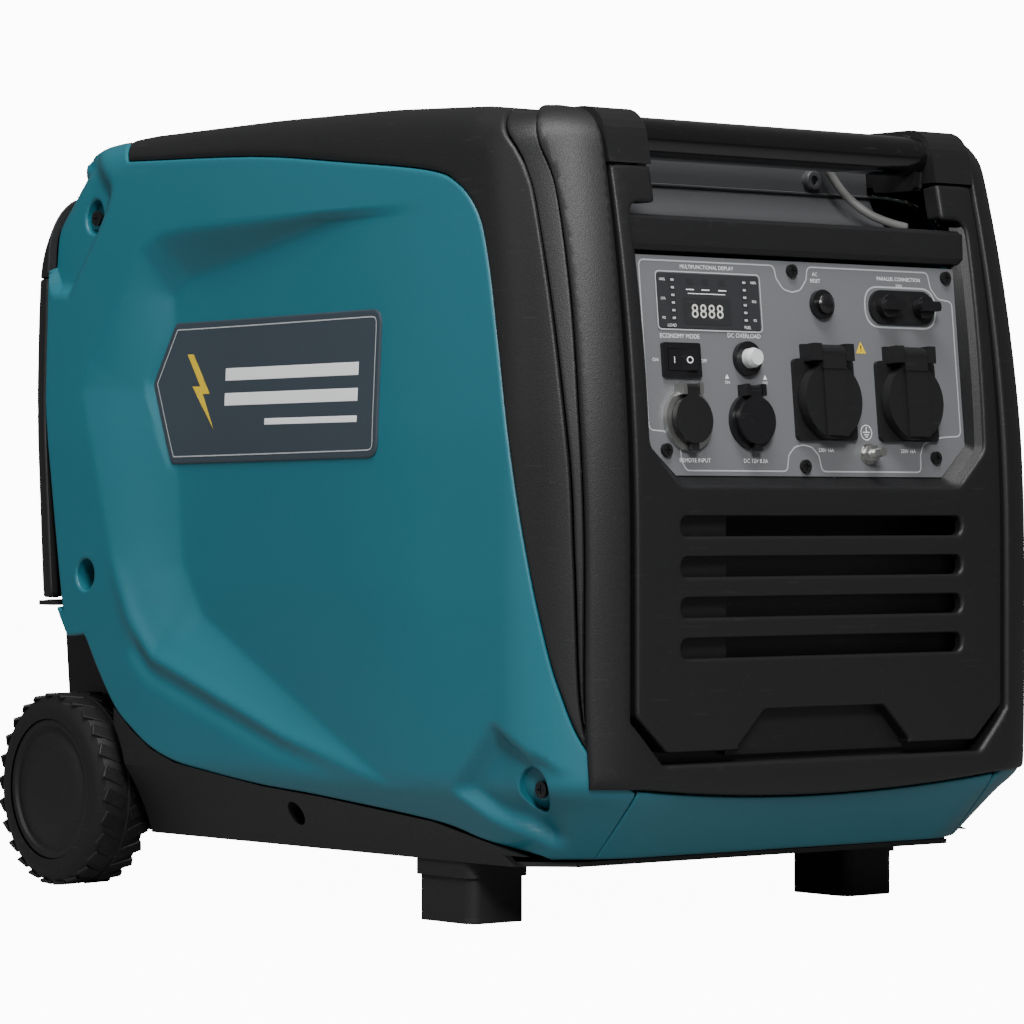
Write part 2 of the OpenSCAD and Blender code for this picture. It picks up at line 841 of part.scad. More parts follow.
module earth_terminal() {
  color("silver") on_panel(earth_at[0], earth_at[1], 0) {
    translate([0, 0, -10]) cylinder(h=18, r=2.7);
    translate([0, 0, 7.4]) cylinder(h=6.8, r=2.9);
    cylinder(h=1.2, r=6.5);
    translate([0, 0, 2.2]) cylinder(h=4.5, r=5.5, $fn=6);
    translate([0, 0, 1.2]) cylinder(h=1, r=4.5);
  }
}

// ---- Handle ----

handle_y = -255;
rail_end = 180;
guide_front = -196;
guide_rear = 196;

module u_tube(grow) {
  union() {
    cyl_x(-rail_x, rail_x, handle_y, handle_z, handle_r + grow);
    for (s = [-1, 1]) {
      cyl_y(handle_y, rail_end, s * rail_x, handle_z, rail_r + grow);
      translate([s * rail_x, handle_y, handle_z]) sphere(r=handle_r + grow);
    }
  }
}

module handle_tube() {
  color("black") u_tube(0);
}

module handle_ends() {
  color(black) difference() {
    intersection() {
      envelope(bezel_skin);
      for (s = [-1, 1]) on_side(s) box(cheek_x, bezel_x, -far, -210, cheek_z + 1, frame_top_z - bezel_skin);
    }
    u_tube(fit);
  }
}

module handle_guides() {
  color("dimgray") for (s = [-1, 1]) difference() {
    box(s * rail_x - 14, s * rail_x + 14, guide_front, guide_rear, handle_z - 13, handle_z + 11);
    cyl_y(guide_front - 1, guide_rear - 4, s * rail_x, handle_z, rail_r + fit);
  }
}

// ---- Wheels and feet ----

rim_r = 47;

module axle() {
  color("silver") cyl_x(-wheel_outer_x + 7, wheel_outer_x - 7, axle_y, wheel_r, axle_r);
}

module tyre(s) {
  mid = wheel_outer_x - tyre_w / 2;
  color([0.06, 0.06, 0.06]) on_side(s) translate([mid, axle_y, wheel_r]) rotate([0, 90, 0]) rotate_extrude()
    polygon(concat(
      [[rim_r, -tyre_w / 2]],
      arc([wheel_r - 9, -tyre_w / 2 + 9], 9, -90, 0, 5),
      arc([wheel_r - 9, tyre_w / 2 - 9], 9, 0, 90, 5),
      [[rim_r, tyre_w / 2]]
    ));
}

module wheel_hub(s) {
  color(black) on_side(s) difference() {
    union() {
      cyl_x(wheel_outer_x - 6, wheel_outer_x - 2, axle_y, wheel_r, rim_r);
      cyl_x(wheel_outer_x - tyre_w + 4, wheel_outer_x - 6, axle_y, wheel_r, 17);
      difference() {
        cyl_x(wheel_outer_x - tyre_w + 2, wheel_outer_x - 6, axle_y, wheel_r, rim_r);
        cyl_x(wheel_outer_x - tyre_w, wheel_outer_x - 6, axle_y, wheel_r, rim_r - 5);
      }
    }
    cyl_x(100, wheel_outer_x - 6.5, axle_y, wheel_r, axle_r + fit);
  }
}

module left_tyre() { tyre(-1); }

module left_wheel_hub() { wheel_hub(-1); }

module right_tyre() { tyre(1); }

module right_wheel_hub() { wheel_hub(1); }

module front_feet() {
  color([0.06, 0.06, 0.06]) for (s = [-1, 1]) translate([s * foot_x, foot_y, 0]) {
    linear_extrude(28) rounded_rect(44, 54, 8);
    translate([0, 0, 28]) linear_extrude(bottom_z + skin - 28) rounded_rect(48, 58, 8);
  }
}

// ---- Fuel ----

module fuel_cap() {
  color(black) translate([0, cap_y, 0]) difference() {
    union() {
      translate([0, 0, 476]) cylinder(h=18, r=36.5);
      for (a = [0:30:330]) rotate([0, 0, a]) translate([36.5, 0, 477]) cylinder(h=16, r=1.6);
    }
    translate([0, 0, 475]) cylinder(h=12, r=30 + fit);
    translate([0, 0, 488]) cylinder(h=10, r=4 + fit);
  }
}

module cap_vent_knob() {
  color("black") translate([0, cap_y, 0]) {
    translate([0, 0, 489]) cylinder(h=6, r=4);
    translate([0, 0, 494.4]) cylinder(h=2, r=12);
    translate([-12, -2.5, 496.4]) cube([24, 5, 3.2]);
  }
}

tank_low = 302;
tank_high = 452;

module fuel_tank() {
  color([0.5, 0.12, 0.1]) difference() {
    union() {
      translate([0, 87, tank_low]) linear_extrude(tank_high - tank_low) rounded_rect(330, 254, 26);
      translate([0, cap_y, tank_high - 1]) cylinder(h=486 - tank_high, r=30);
    }
    translate([0, 87, tank_low + 2]) linear_extrude(tank_high - tank_low - 4) rounded_rect(326, 250, 24);
    translate([0, cap_y, tank_high - 5]) cylinder(h=60, r=27);
  }
}

// ---- Engine, alternator and exhaust ----

module crankcase() {
  color("lightgray") difference() {
    union() {
      extrude_y(-55, 55) translate([0, 138]) rounded_rect(170, 156, 22);
      cyl_y(-62, -54, 0, crank_z, 60);
    }
    cyl_y(-70, 70, 0, crank_z, crank_r + fit);
  }
}

module cylinder_head() {
  color("silver") {
    translate([0, 0, 216]) linear_extrude(74) square([66, 66], center=true);
    for (i = [0:6]) translate([0, 0, 220 + 9.5 * i]) linear_extrude(3) rounded_rect(96, 92, 12);
  }
}

module crankshaft() {
  color("silver") cyl_y(-152, 62, 0, crank_z, crank_r);
}

bell_front = -128;

module rotor_fan() {
  color("dimgray") difference() {
    union() {
      difference() {
        cyl_y(bell_front, -74, 0, crank_z, rotor_r);
        cyl_y(bell_front + 6, -70, 0, crank_z, rotor_r - 12);
      }
      cyl_y(bell_front - 20, bell_front, 0, crank_z, 26);
      for (i = [0:11]) translate([0, bell_front - 18, crank_z]) rotate([0, i * 30, 0])
        translate([25, 0, 0]) rotate([0, 24, 0]) cube([rotor_r - 34, 19, 3]);
    }
    cyl_y(-160, -60, 0, crank_z, crank_r);
  }
}

module stator() {
  color("sandybrown") difference() {
    union() {
      cyl_y(-116, -80, 0, crank_z, 46);
      cyl_y(-81, -62, 0, crank_z, 30);
      for (i = [0:11]) translate([0, -116, crank_z]) rotate([0, i * 30, 0]) translate([40, 0, -6]) cube([34, 36, 12]);
    }
    cyl_y(-130, -60, 0, crank_z, crank_r + 2);
  }
}

module muffler() {
  color("gray") difference() {
    union() {
      extrude_y(100, 238) translate([0, 165]) rounded_rect(220, 140, 40);
      cyl_y(230, 288, outlet_x, outlet_z, 14);
      cyl_y(46, 102, 40, 225.5, 8.5);
    }
    extrude_y(102, 236) translate([0, 165]) rounded_rect(216, 136, 38);
    cyl_y(220, 290, outlet_x, outlet_z, 12);
    cyl_y(45, 110, 40, 225.5, 6.5);
  }
}

module carburettor() {
  color("lightgray") difference() {
    union() {
      box(-98, -58, 4, 46, 232, 280);
      cyl_x(-106, -48.5, 25, 256, 16);
    }
    cyl_x(-110, -60, 25, 256, 11);
  }
}

module air_filter_box() {
  color(black) difference() {
    extrude_x(-188, -106) translate([25, 250]) rounded_rect(120, 84, 14);
    extrude_x(-185, -109) translate([25, 250]) rounded_rect(114, 78, 12);
    cyl_x(-112, -100, 25, 256, 11);
  }
}

module inverter_module() {
  color("silver") {
    box(-118, 118, -238, -222, 72, 250);
    for (i = [0:13]) box(-115 + 17.5 * i, -113 + 17.5 * i, -222, -190, 76, 246);
  }
}

module battery() {
  color("dimgray") {
    box(112, 176, -10, 90, 62, 150);
    for (y = [8, 72]) box(120, 134, y - 6, y + 6, 150, 160);
  }
}

module engine_mounts() {
  color([0.08, 0.08, 0.08]) for (sx = [-1, 1], sy = [-1, 1])
    translate([sx * mount_x, sy * mount_y, bottom_z + inner]) cylinder(h=60 - bottom_z - inner, r=14);
}

left_side_cover();
right_side_cover();
front_bumper();
base_tray();
top_cover();
left_side_shell();
right_side_shell();
front_cowl();
front_bezel();
handle_pocket();
rear_panel();
exhaust_guard();
recoil_bezel();
side_badges();
case_screws();
control_panel();
display_module();
economy_switch_frame();
economy_rocker();
breaker_bushes();
ac_reset_button();
dc_breaker_button();
parallel_terminals();
parallel_cap_left();
parallel_cap_right();
remote_inlet();
remote_inlet_flap();
dc_socket();
dc_socket_flap();
ac_sockets();
socket_lid_left();
socket_lid_right();
earth_terminal();
handle_tube();
handle_ends();
handle_guides();
axle();
left_tyre();
left_wheel_hub();
right_tyre();
right_wheel_hub();
front_feet();
fuel_cap();
cap_vent_knob();
fuel_tank();
crankcase();
cylinder_head();
crankshaft();
rotor_fan();
stator();
muffler();
carburettor();
air_filter_box();
inverter_module();
battery();
engine_mounts();
recoil_housing();
recoil_pulley();
recoil_grip();
engine_knob();
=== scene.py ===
import json
import math
import bpy
import numpy as np
from mathutils import Matrix, Vector
from mathutils.geometry import delaunay_2d_cdt


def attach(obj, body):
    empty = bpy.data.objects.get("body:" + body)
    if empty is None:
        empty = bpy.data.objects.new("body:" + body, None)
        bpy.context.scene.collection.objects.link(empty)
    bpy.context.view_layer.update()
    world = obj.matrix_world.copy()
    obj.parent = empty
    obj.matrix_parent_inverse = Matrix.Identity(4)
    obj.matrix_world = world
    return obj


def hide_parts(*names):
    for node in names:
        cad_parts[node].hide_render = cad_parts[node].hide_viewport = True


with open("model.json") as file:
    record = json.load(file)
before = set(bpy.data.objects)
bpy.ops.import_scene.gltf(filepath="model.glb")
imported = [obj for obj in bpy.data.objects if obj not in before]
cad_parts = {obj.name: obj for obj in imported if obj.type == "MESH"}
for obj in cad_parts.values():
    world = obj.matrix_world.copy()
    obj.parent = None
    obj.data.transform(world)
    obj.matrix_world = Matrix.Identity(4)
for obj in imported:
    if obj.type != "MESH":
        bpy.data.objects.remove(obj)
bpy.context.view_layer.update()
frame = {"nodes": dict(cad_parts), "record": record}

mm = 0.001
sides = ((-1, "left"), (1, "right"))
nodes = frame["nodes"]


def newGroup(name, ins, outs):
    tree = bpy.data.node_groups.new(name, "ShaderNodeTree")
    for label, kind, value in ins:
        sock = tree.interface.new_socket(label, in_out="INPUT", socket_type=kind)
        sock.default_value = value
    for label, kind in outs:
        tree.interface.new_socket(label, in_out="OUTPUT", socket_type=kind)
    return tree, tree.nodes.new("NodeGroupInput"), tree.nodes.new("NodeGroupOutput")


def addNode(tree, kind, **props):
    # kind leaves out ShaderNode; an input may be a number, a socket or a node
    node = tree.nodes.new(kind if kind.startswith("Geometry") else "ShaderNode" + kind)
    inputs = props.pop("ins", {})
    for key, value in props.items():
        setattr(node, key, value)
    for key, value in inputs.items():
        value = value.outputs[0] if isinstance(value, bpy.types.Node) else value
        if isinstance(value, bpy.types.NodeSocket):
            tree.links.new(value, node.inputs[key])
        else:
            node.inputs[key].default_value = value
    return node


def calc(tree, operation, a, b):
    # A maths node, its two inputs numbers or sockets
    return addNode(tree, "Math", operation=operation, ins={0: a, 1: b}).outputs[0]


def makeGrain():
    # Fine moulded grain with larger, weaker waviness
    tree, gin, gout = newGroup("mouldedGrain", [
        ("Scale", "NodeSocketFloat", 1400.0), ("Depth", "NodeSocketFloat", 0.1), ("Waves",
            "NodeSocketFloat", 0.02)],
        [("Normal", "NodeSocketVector"), ("Speckle", "NodeSocketFloat"), ("Cloud", "NodeSocketFloat")])
    coord = addNode(tree, "TexCoord")
    fine = addNode(tree, "TexNoise", ins={"Vector": coord.outputs["Object"],
        "Scale": gin.outputs["Scale"], "Detail": 3.0})
    cell = addNode(tree, "TexVoronoi", ins={"Vector": coord.outputs["Object"],
        "Scale": gin.outputs["Scale"]})
    cloud = addNode(tree, "TexNoise", ins={"Vector": coord.outputs["Object"], "Scale": 9.0,
        "Detail": 4.0})
    mixed = calc(tree, "ADD", fine, cell)
    bumpA = addNode(tree, "Bump", ins={"Height": mixed, "Strength": gin.outputs["Depth"],
        "Distance": 0.0003})
    bumpB = addNode(tree, "Bump", ins={"Height": cloud,
        "Strength": gin.outputs["Waves"], "Distance": 0.01, "Normal": bumpA})
    tree.links.new(bumpB.outputs[0], gout.inputs["Normal"])
    tree.links.new(mixed, gout.inputs["Speckle"])
    tree.links.new(cloud.outputs[0], gout.inputs["Cloud"])
    return tree


def makeWear():
    # Sparse dust and hairline scuffs as a mask
    tree, gin, gout = newGroup("dustAndScuffs", [
        ("Dust", "NodeSocketFloat", 0.2), ("Scuffs", "NodeSocketFloat", 0.2)], [("Mask",
            "NodeSocketFloat")])
    coord = addNode(tree, "TexCoord")
    specks = addNode(tree, "TexNoise", ins={"Vector": coord.outputs["Object"], "Scale": 260.0,
        "Detail": 2.0})
    speckCut = addNode(tree, "MapRange", ins={"Value": specks, "From Min": 0.66,
        "From Max": 0.8})
    stretch = addNode(tree, "Mapping", ins={"Vector": coord.outputs["Object"], "Scale": (30.0,
        40.0, 420.0), "Rotation": (0.5, 0.3, 0.9)})
    lines = addNode(tree, "TexNoise", ins={"Vector": stretch, "Scale": 1.0,
        "Detail": 1.0})
    lineCut = addNode(tree, "MapRange", ins={"Value": lines, "From Min": 0.7,
        "From Max": 0.76})
    dust = calc(tree, "MULTIPLY", speckCut, gin.outputs["Dust"])
    scuff = calc(tree, "MULTIPLY", lineCut, gin.outputs["Scuffs"])
    both = calc(tree, "MAXIMUM", dust, scuff)
    tree.links.new(both, gout.inputs["Mask"])
    return tree


grainGroup = makeGrain()
wearGroup = makeWear()


def surface(name, color, rough, metal=0.0, grain=1400.0, depth=0.1, waves=0.02, dust=0.1, scuffs=0.1,
            vary=0.06, coat=0.0, dustColor=(0.4, 0.4, 0.4), specular=0.5, glow=None):
    mat = bpy.data.materials.new(name)
    mat.use_nodes = True
    tree = mat.node_tree
    shader = tree.nodes["Principled BSDF"]
    grainNode = addNode(tree, "Group", node_tree=grainGroup)
    grainNode.inputs["Scale"].default_value = grain
    grainNode.inputs["Depth"].default_value = depth
    grainNode.inputs["Waves"].default_value = waves
    wearNode = addNode(tree, "Group", node_tree=wearGroup)
    wearNode.inputs["Dust"].default_value = dust
    wearNode.inputs["Scuffs"].default_value = scuffs
    dark = tuple(c * (1 - vary) for c in color) + (1,)
    light = tuple(min(1, c * (1 + vary)) for c in color) + (1,)
    tone = addNode(tree, "Mix", data_type="RGBA")
    tree.links.new(grainNode.outputs["Cloud"], tone.inputs[0])
    tone.inputs[6].default_value = dark
    tone.inputs[7].default_value = light
    dusty = addNode(tree, "Mix", data_type="RGBA")
    tree.links.new(wearNode.outputs["Mask"], dusty.inputs[0])
    tree.links.new(tone.outputs[2], dusty.inputs[6])
    dusty.inputs[7].default_value = dustColor + (1,)
    tree.links.new(dusty.outputs[2], shader.inputs["Base Color"])
    roughMap = addNode(tree, "MapRange", ins={"From Min": 0.3, "From Max": 1.3,
        "To Min": rough * 0.9, "To Max": min(1, rough * 1.12)})
    tree.links.new(grainNode.outputs["Speckle"], roughMap.inputs["Value"])
    roughAdd = addNode(tree, "Math", operation="ADD", use_clamp=True)
    tree.links.new(roughMap.outputs[0], roughAdd.inputs[0])
    tree.links.new(calc(tree, "MULTIPLY", wearNode.outputs["Mask"], 0.35), roughAdd.inputs[1])
    tree.links.new(roughAdd.outputs[0], shader.inputs["Roughness"])
    tree.links.new(grainNode.outputs["Normal"], shader.inputs["Normal"])
    shader.inputs["Metallic"].default_value = metal
    shader.inputs["Specular IOR Level"].default_value = specular
    shader.inputs["Coat Weight"].default_value = coat
    shader.inputs["Coat Roughness"].default_value = 0.12
    if glow:
        shader.inputs["Emission Color"].default_value = glow[:3] + (1,)
        shader.inputs["Emission Strength"].default_value = glow[3]
    return mat


mats = {
    "cover_paint": surface("coverPaint", (0.014, 0.125, 0.165), 0.4, depth=0.12, waves=0.012, dust=0.01,
        scuffs=0.01, vary=0.04, specular=0.4),
    "black_plastic": surface("blackPlastic", (0.0078, 0.0079, 0.0086), 0.47, grain=1100, depth=0.2,
        waves=0.02, dust=0.02, scuffs=0.012, vary=0.12, specular=0.4),
    "dark_grey_plastic": surface("darkGreyPlastic", (0.06, 0.061, 0.065), 0.45, grain=1100, depth=0.18,
        dust=0.03, scuffs=0.02, vary=0.1),
    "gloss_black": surface("glossBlack", (0.008, 0.008, 0.009), 0.22, depth=0.04, waves=0.01, dust=0.02,
        scuffs=0.02),
    "clear_white": surface("clearWhite", (0.62, 0.63, 0.63), 0.25, depth=0.03, dust=0.1, scuffs=0.1),
    "panel_grey": surface("panelGrey", (0.14, 0.144, 0.152), 0.42, grain=2200, depth=0.12, dust=0.03,
        scuffs=0.02, vary=0.05),
    "display_plastic": surface("displayPlastic", (0.03, 0.031, 0.034), 0.3, grain=2200, depth=0.05,
        dust=0.02, scuffs=0.02),
    "badge_foil": surface("badgeFoil", (0.036, 0.05, 0.064), 0.36, grain=2600, depth=0.05, dust=0.01,
        scuffs=0.01),
    "handle_paint": surface("handlePaint", (0.003, 0.003, 0.0035), 0.16, grain=900, depth=0.03, waves=0.02,
        dust=0.02, scuffs=0.03, coat=0.5),
    "dark_steel": surface("darkSteel", (0.05, 0.05, 0.052), 0.38, metal=0.9, grain=1800, depth=0.1,
        scuffs=0.3),
    "steel": surface("steel", (0.5, 0.5, 0.5), 0.3, metal=1.0, grain=1800, depth=0.1, scuffs=0.3),
    "zinc": surface("zinc", (0.52, 0.52, 0.5), 0.34, metal=1.0, grain=1800, depth=0.12, scuffs=0.2,
        vary=0.12),
    "heat_steel": surface("heatSteel", (0.16, 0.14, 0.12), 0.5, metal=0.9, grain=1200, depth=0.3,
        scuffs=0.3, vary=0.3),
    "tyre_rubber": surface("tyreRubber", (0.005, 0.005, 0.0053), 0.55, grain=900, depth=0.25, waves=0.03,
        dust=0.04, scuffs=0.03, vary=0.15, specular=0.4),
    "foot_rubber": surface("footRubber", (0.014, 0.014, 0.0145), 0.6, grain=900, depth=0.3, dust=0.03,
        scuffs=0.03, vary=0.15, specular=0.35),
    "tank_paint": surface("tankPaint", (0.02, 0.02, 0.021), 0.4, grain=900, depth=0.15, coat=0.2),
    "cast_alloy": surface("castAlloy", (0.46, 0.47, 0.48), 0.5, metal=0.9, grain=700, depth=0.5, scuffs=0.2,
        vary=0.1),
    "copper_wire": surface("copperWire", (0.42, 0.16, 0.05), 0.35, metal=0.9, grain=900, depth=0.5),
    "battery_case": surface("batteryCase", (0.025, 0.025, 0.03), 0.5, grain=1200, depth=0.2),
}


def ink(name, color, rough, depth=0.05, dust=0.0):
    return surface(name, color, rough, grain=2600, depth=depth, dust=dust, scuffs=0.05)


inkLight = ink("inkLight", (0.85, 0.86, 0.87), 0.45)
inkSilver = ink("inkSilver", (0.42, 0.44, 0.45), 0.4)
inkDark = ink("inkDark", (0.022, 0.023, 0.025), 0.4, 0.06, 0.05)
inkYellow = ink("inkYellow", (0.72, 0.5, 0.02), 0.45)
digitGlow = surface("digitGlow", (0.5, 0.5, 0.46), 0.4, grain=2600, depth=0.02, dust=0.0, scuffs=0.0,
    glow=(0.8, 0.8, 0.7, 0.25))
hosePale = surface("hosePale", (0.16, 0.16, 0.155), 0.5, grain=900, depth=0.1, dust=0.2, scuffs=0.1)
black = mats["black_plastic"]
print("materials")


def softTable(points, lo, hi, sigma):
    z = np.arange(lo, hi + 1.0)
    pz, pv = zip(*points)
    v = np.interp(z, pz, pv)
    reach = int(sigma * 4) + 1
    k = np.exp(-0.5 * (np.arange(-reach, reach + 1) / sigma) ** 2)
    v = np.convolve(np.pad(v, reach, mode="reflect", reflect_type="odd"), k / k.sum(), "valid")
    return z, v, np.sqrt(1 + np.gradient(v, z) ** 2)


leanPoints = [(z, -302.5 + max(0, z - 230) ** 2 / 2000) for z in range(230, 561, 10)]
body = {
    "half": softTable([(-40, 147), (34, 184), (83, 209), (200, 210), (300, 208), (400, 203), (455, 200),
        (560, 193)], -40, 560, 6),
    "front": softTable([(-40, -206), (34, -264), (83, -302.5)] + leanPoints, -40, 560, 5),
    "rear": softTable([(-40, 254), (80, 270), (190, 281), (330, 294), (380, 296), (560, 296)], -40, 560, 7),
    "top": softTable([(-360, 493), (-212, 493), (-200, 498), (-100, 502.5), (20, 504), (160, 503), (216,
        499), (230, 489), (292, 424), (360, 353)], -360, 360, 7),
    "cornerFront": 62, "cornerRear": 48, "shoulder": 26,
}


def roundMax(a, b, r):
    u, v = a + r, b + r
    return np.where((u > 0) & (v > 0), np.sqrt(np.maximum(u, 0) ** 2 + np.maximum(v, 0) ** 2) - r,
        np.maximum(a, b))


def outside(p):
    x, y, z = p[:, 0], p[:, 1], p[:, 2]
    def look(name, q):
        t = body[name]
        return np.interp(q, t[0], t[1]), np.interp(q, t[0], t[2])
    half, hs = look("half", z)
    front, fs = look("front", z)
    rear, rs = look("rear", z)
    top, ts = look("top", y)
    f = roundMax((np.abs(x) - half) / hs, (front - y) / fs, body["cornerFront"])
    f = roundMax(f, (y - rear) / rs, body["cornerRear"])
    return roundMax(f, (z - top) / ts, body["shoulder"])


cx, cy, rx, ry = 148.0, -240.5, 162.0, 248.0
arcF, arcR = 58 * math.pi / 2, 44 * math.pi / 2
sideStart = cx + arcF
sideEnd = sideStart + ry - cy
rearStart = sideEnd + arcR
rearMid = rearStart + rx
tiltZ = 450.0


def rays(u, v):
    # u runs round the body from the front's middle, v up it and over the shoulder
    s, a = np.where(u < 0, -1.0, 1.0), np.abs(u)
    ox = np.select([a < cx, a < sideStart, a < sideEnd, a < rearStart], [a, cx + 0 * a, cx + 0 * a,
        rx + 0 * a], rearMid - a)
    oy = np.select([a < sideStart, a < sideEnd], [cy + 0 * a, cy + a - sideStart], ry + 0 * a)
    t = np.select([a < cx, a < sideStart, a < sideEnd, a < rearStart],
                  [-math.pi / 2 + 0 * a, -(sideStart - a) / 58, 0 * a,
                      (a - sideEnd) / 44], math.pi / 2 + 0 * a)
    e = np.clip((v - tiltZ) / 50, 0, 1) * math.pi / 2
    o = np.stack([s * ox, oy, np.minimum(v, tiltZ)], 1)
    d = np.stack([s * np.cos(t) * np.cos(e), np.sin(t) * np.cos(e), np.sin(e)], 1)
    return o, d


def skinAt(u, v, inset):
    u, v = np.asarray(u, float), np.asarray(v, float)
    o, d = rays(u, v)
    lo, hi = np.zeros(len(u)), np.full(len(u), 260.0)
    for _ in range(26):
        m = (lo + hi) / 2
        out = outside(o + d * m[:, None]) > -inset
        hi, lo = np.where(out, m, hi), np.where(out, lo, m)
    return o + d * ((lo + hi) / 2)[:, None]


def uvOf(points, inset=4):
    # (u, v) of points given by Y and Z on the right side
    pts = np.asarray(points, float)
    v = pts[:, 1].copy()
    for _ in range(3):
        lo, hi = np.full(len(pts), cx), np.full(len(pts), rearStart)
        for _ in range(22):
            m = (lo + hi) / 2
            over = skinAt(m, v, inset)[:, 1] > pts[:, 0]
            hi, lo = np.where(over, m, hi), np.where(over, lo, m)
        u = (lo + hi) / 2
        a, b = np.where(pts[:, 1] < tiltZ, pts[:, 1], tiltZ), np.where(pts[:, 1] < tiltZ, pts[:, 1], 500.0)
        for _ in range(22):
            m = (a + b) / 2
            over = skinAt(u, m, inset)[:, 2] > pts[:, 1]
            b, a = np.where(over, m, b), np.where(over, a, m)
        v = np.where(pts[:, 1] < tiltZ, pts[:, 1], (a + b) / 2)
    return [tuple(q) for q in np.stack([u, v], 1)]


def dense(loop, step, closed=True):
    out = []
    n = len(loop)
    for i in range(n if closed else n - 1):
        a, b = np.array(loop[i]), np.array(loop[(i + 1) % n])
        k = max(1, int(math.ceil(np.linalg.norm(b - a) / step)))
        out += [tuple(a + (b - a) * j / k) for j in range(k)]
    if not closed:
        out.append(tuple(loop[-1]))
    return out


def spline(points, step=4, closed=False):
    # A smooth line through the points
    p = [np.array(q, float) for q in points]
    n, out = len(p), []
    for i in range(n if closed else n - 1):
        if closed:
            a, b, c, d = p[i - 1], p[i], p[(i + 1) % n], p[(i + 2) % n]
        else:
            a, b, c, d = p[max(i - 1, 0)], p[i], p[i + 1], p[min(i + 2, n - 1)]
        k = max(2, int(np.linalg.norm(c - b) / step))
        for j in range(k):
            t = j / k
            bend = (2 * a - 5 * b + 4 * c - d) * t * t + (3 * b - a - 3 * c + d) * t ** 3
            out.append(tuple(0.5 * (2 * b + (c - a) * t + bend)))
    if not closed:
        out.append(tuple(p[-1]))
    return out


def rounded(loop, r, n=5):
    # Corners of a loop rounded by r, or by one radius for each corner
    out = []
    for i in range(len(loop)):
        a, b, c = (np.array(loop[(i + k) % len(loop)], float) for k in (-1, 0, 1))
        rad = r[i] if isinstance(r, (list, tuple)) else r
        la, lc = np.linalg.norm(a - b), np.linalg.norm(c - b)
        if rad <= 0:
            out.append(tuple(b))
            continue
        ca = float(np.dot((a - b) / la, (c - b) / lc))
        half = math.acos(max(-1, min(1, ca))) / 2
        cut = min(rad / max(math.tan(half), 1e-3), la * 0.49, lc * 0.49)
        pa, pc = b + (a - b) / la * cut, b + (c - b) / lc * cut
        for j in range(n + 1):
            t = j / n
            out.append(tuple((1 - t) ** 2 * pa + 2 * t * (1 - t) * b + t * t * pc))
    return out


def lineDistance(p, line, closed=True):
    p = np.asarray(p, float)
    q = np.asarray(line, float)
    a, b = (q, np.roll(q, -1, 0)) if closed else (q[:-1], q[1:])
    best = np.full(len(p), 1e9)
    for s, e in zip(a, b):
        d = e - s
        t = np.clip(((p - s) @ d) / max(d @ d, 1e-9), 0, 1)
        best = np.minimum(best, np.linalg.norm(p - s - t[:, None] * d, axis=1))
    return best


def inLoop(p, loop):
    p = np.asarray(p, float)
    q = np.asarray(loop, float)
    inside = np.zeros(len(p), bool)
    for (x0, y0), (x1, y1) in zip(q, np.roll(q, -1, 0)):
        if y0 == y1:
            continue
        cross = (y0 > p[:, 1]) != (y1 > p[:, 1])
        inside ^= cross & (p[:, 0] < (x1 - x0) * (p[:, 1] - y0) / (y1 - y0) + x0)
    return inside


def inward(loop, d):
    # The loop moved inwards, kept point for point
    q = np.asarray(loop, float)
    area = 0.5 * np.sum(q[:, 0] * np.roll(q[:, 1], -1) - np.roll(q[:, 0], -1) * q[:, 1])
    t = np.roll(q, -1, 0) - np.roll(q, 1, 0)
    t /= np.maximum(np.linalg.norm(t, axis=1), 1e-9)[:, None]
    n = np.stack([-t[:, 1], t[:, 0]], 1) * (1 if area > 0 else -1)
    return q + n * d


def meshObject(name, verts, faces, mat, bodyName="body", smooth=True, replaces=(), slot=None):
    mesh = bpy.data.meshes.new(name)
    mesh.from_pydata([tuple(float(c) * mm for c in v) for v in verts], [], faces)
    mesh.validate()
    mesh.materials.append(mat)
    if smooth:
        mesh.shade_smooth()
    obj = bpy.data.objects.new(name, mesh)
    bpy.context.collection.objects.link(obj)
    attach(obj, bodyName)
    if replaces:
        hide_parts(*replaces)
    return obj


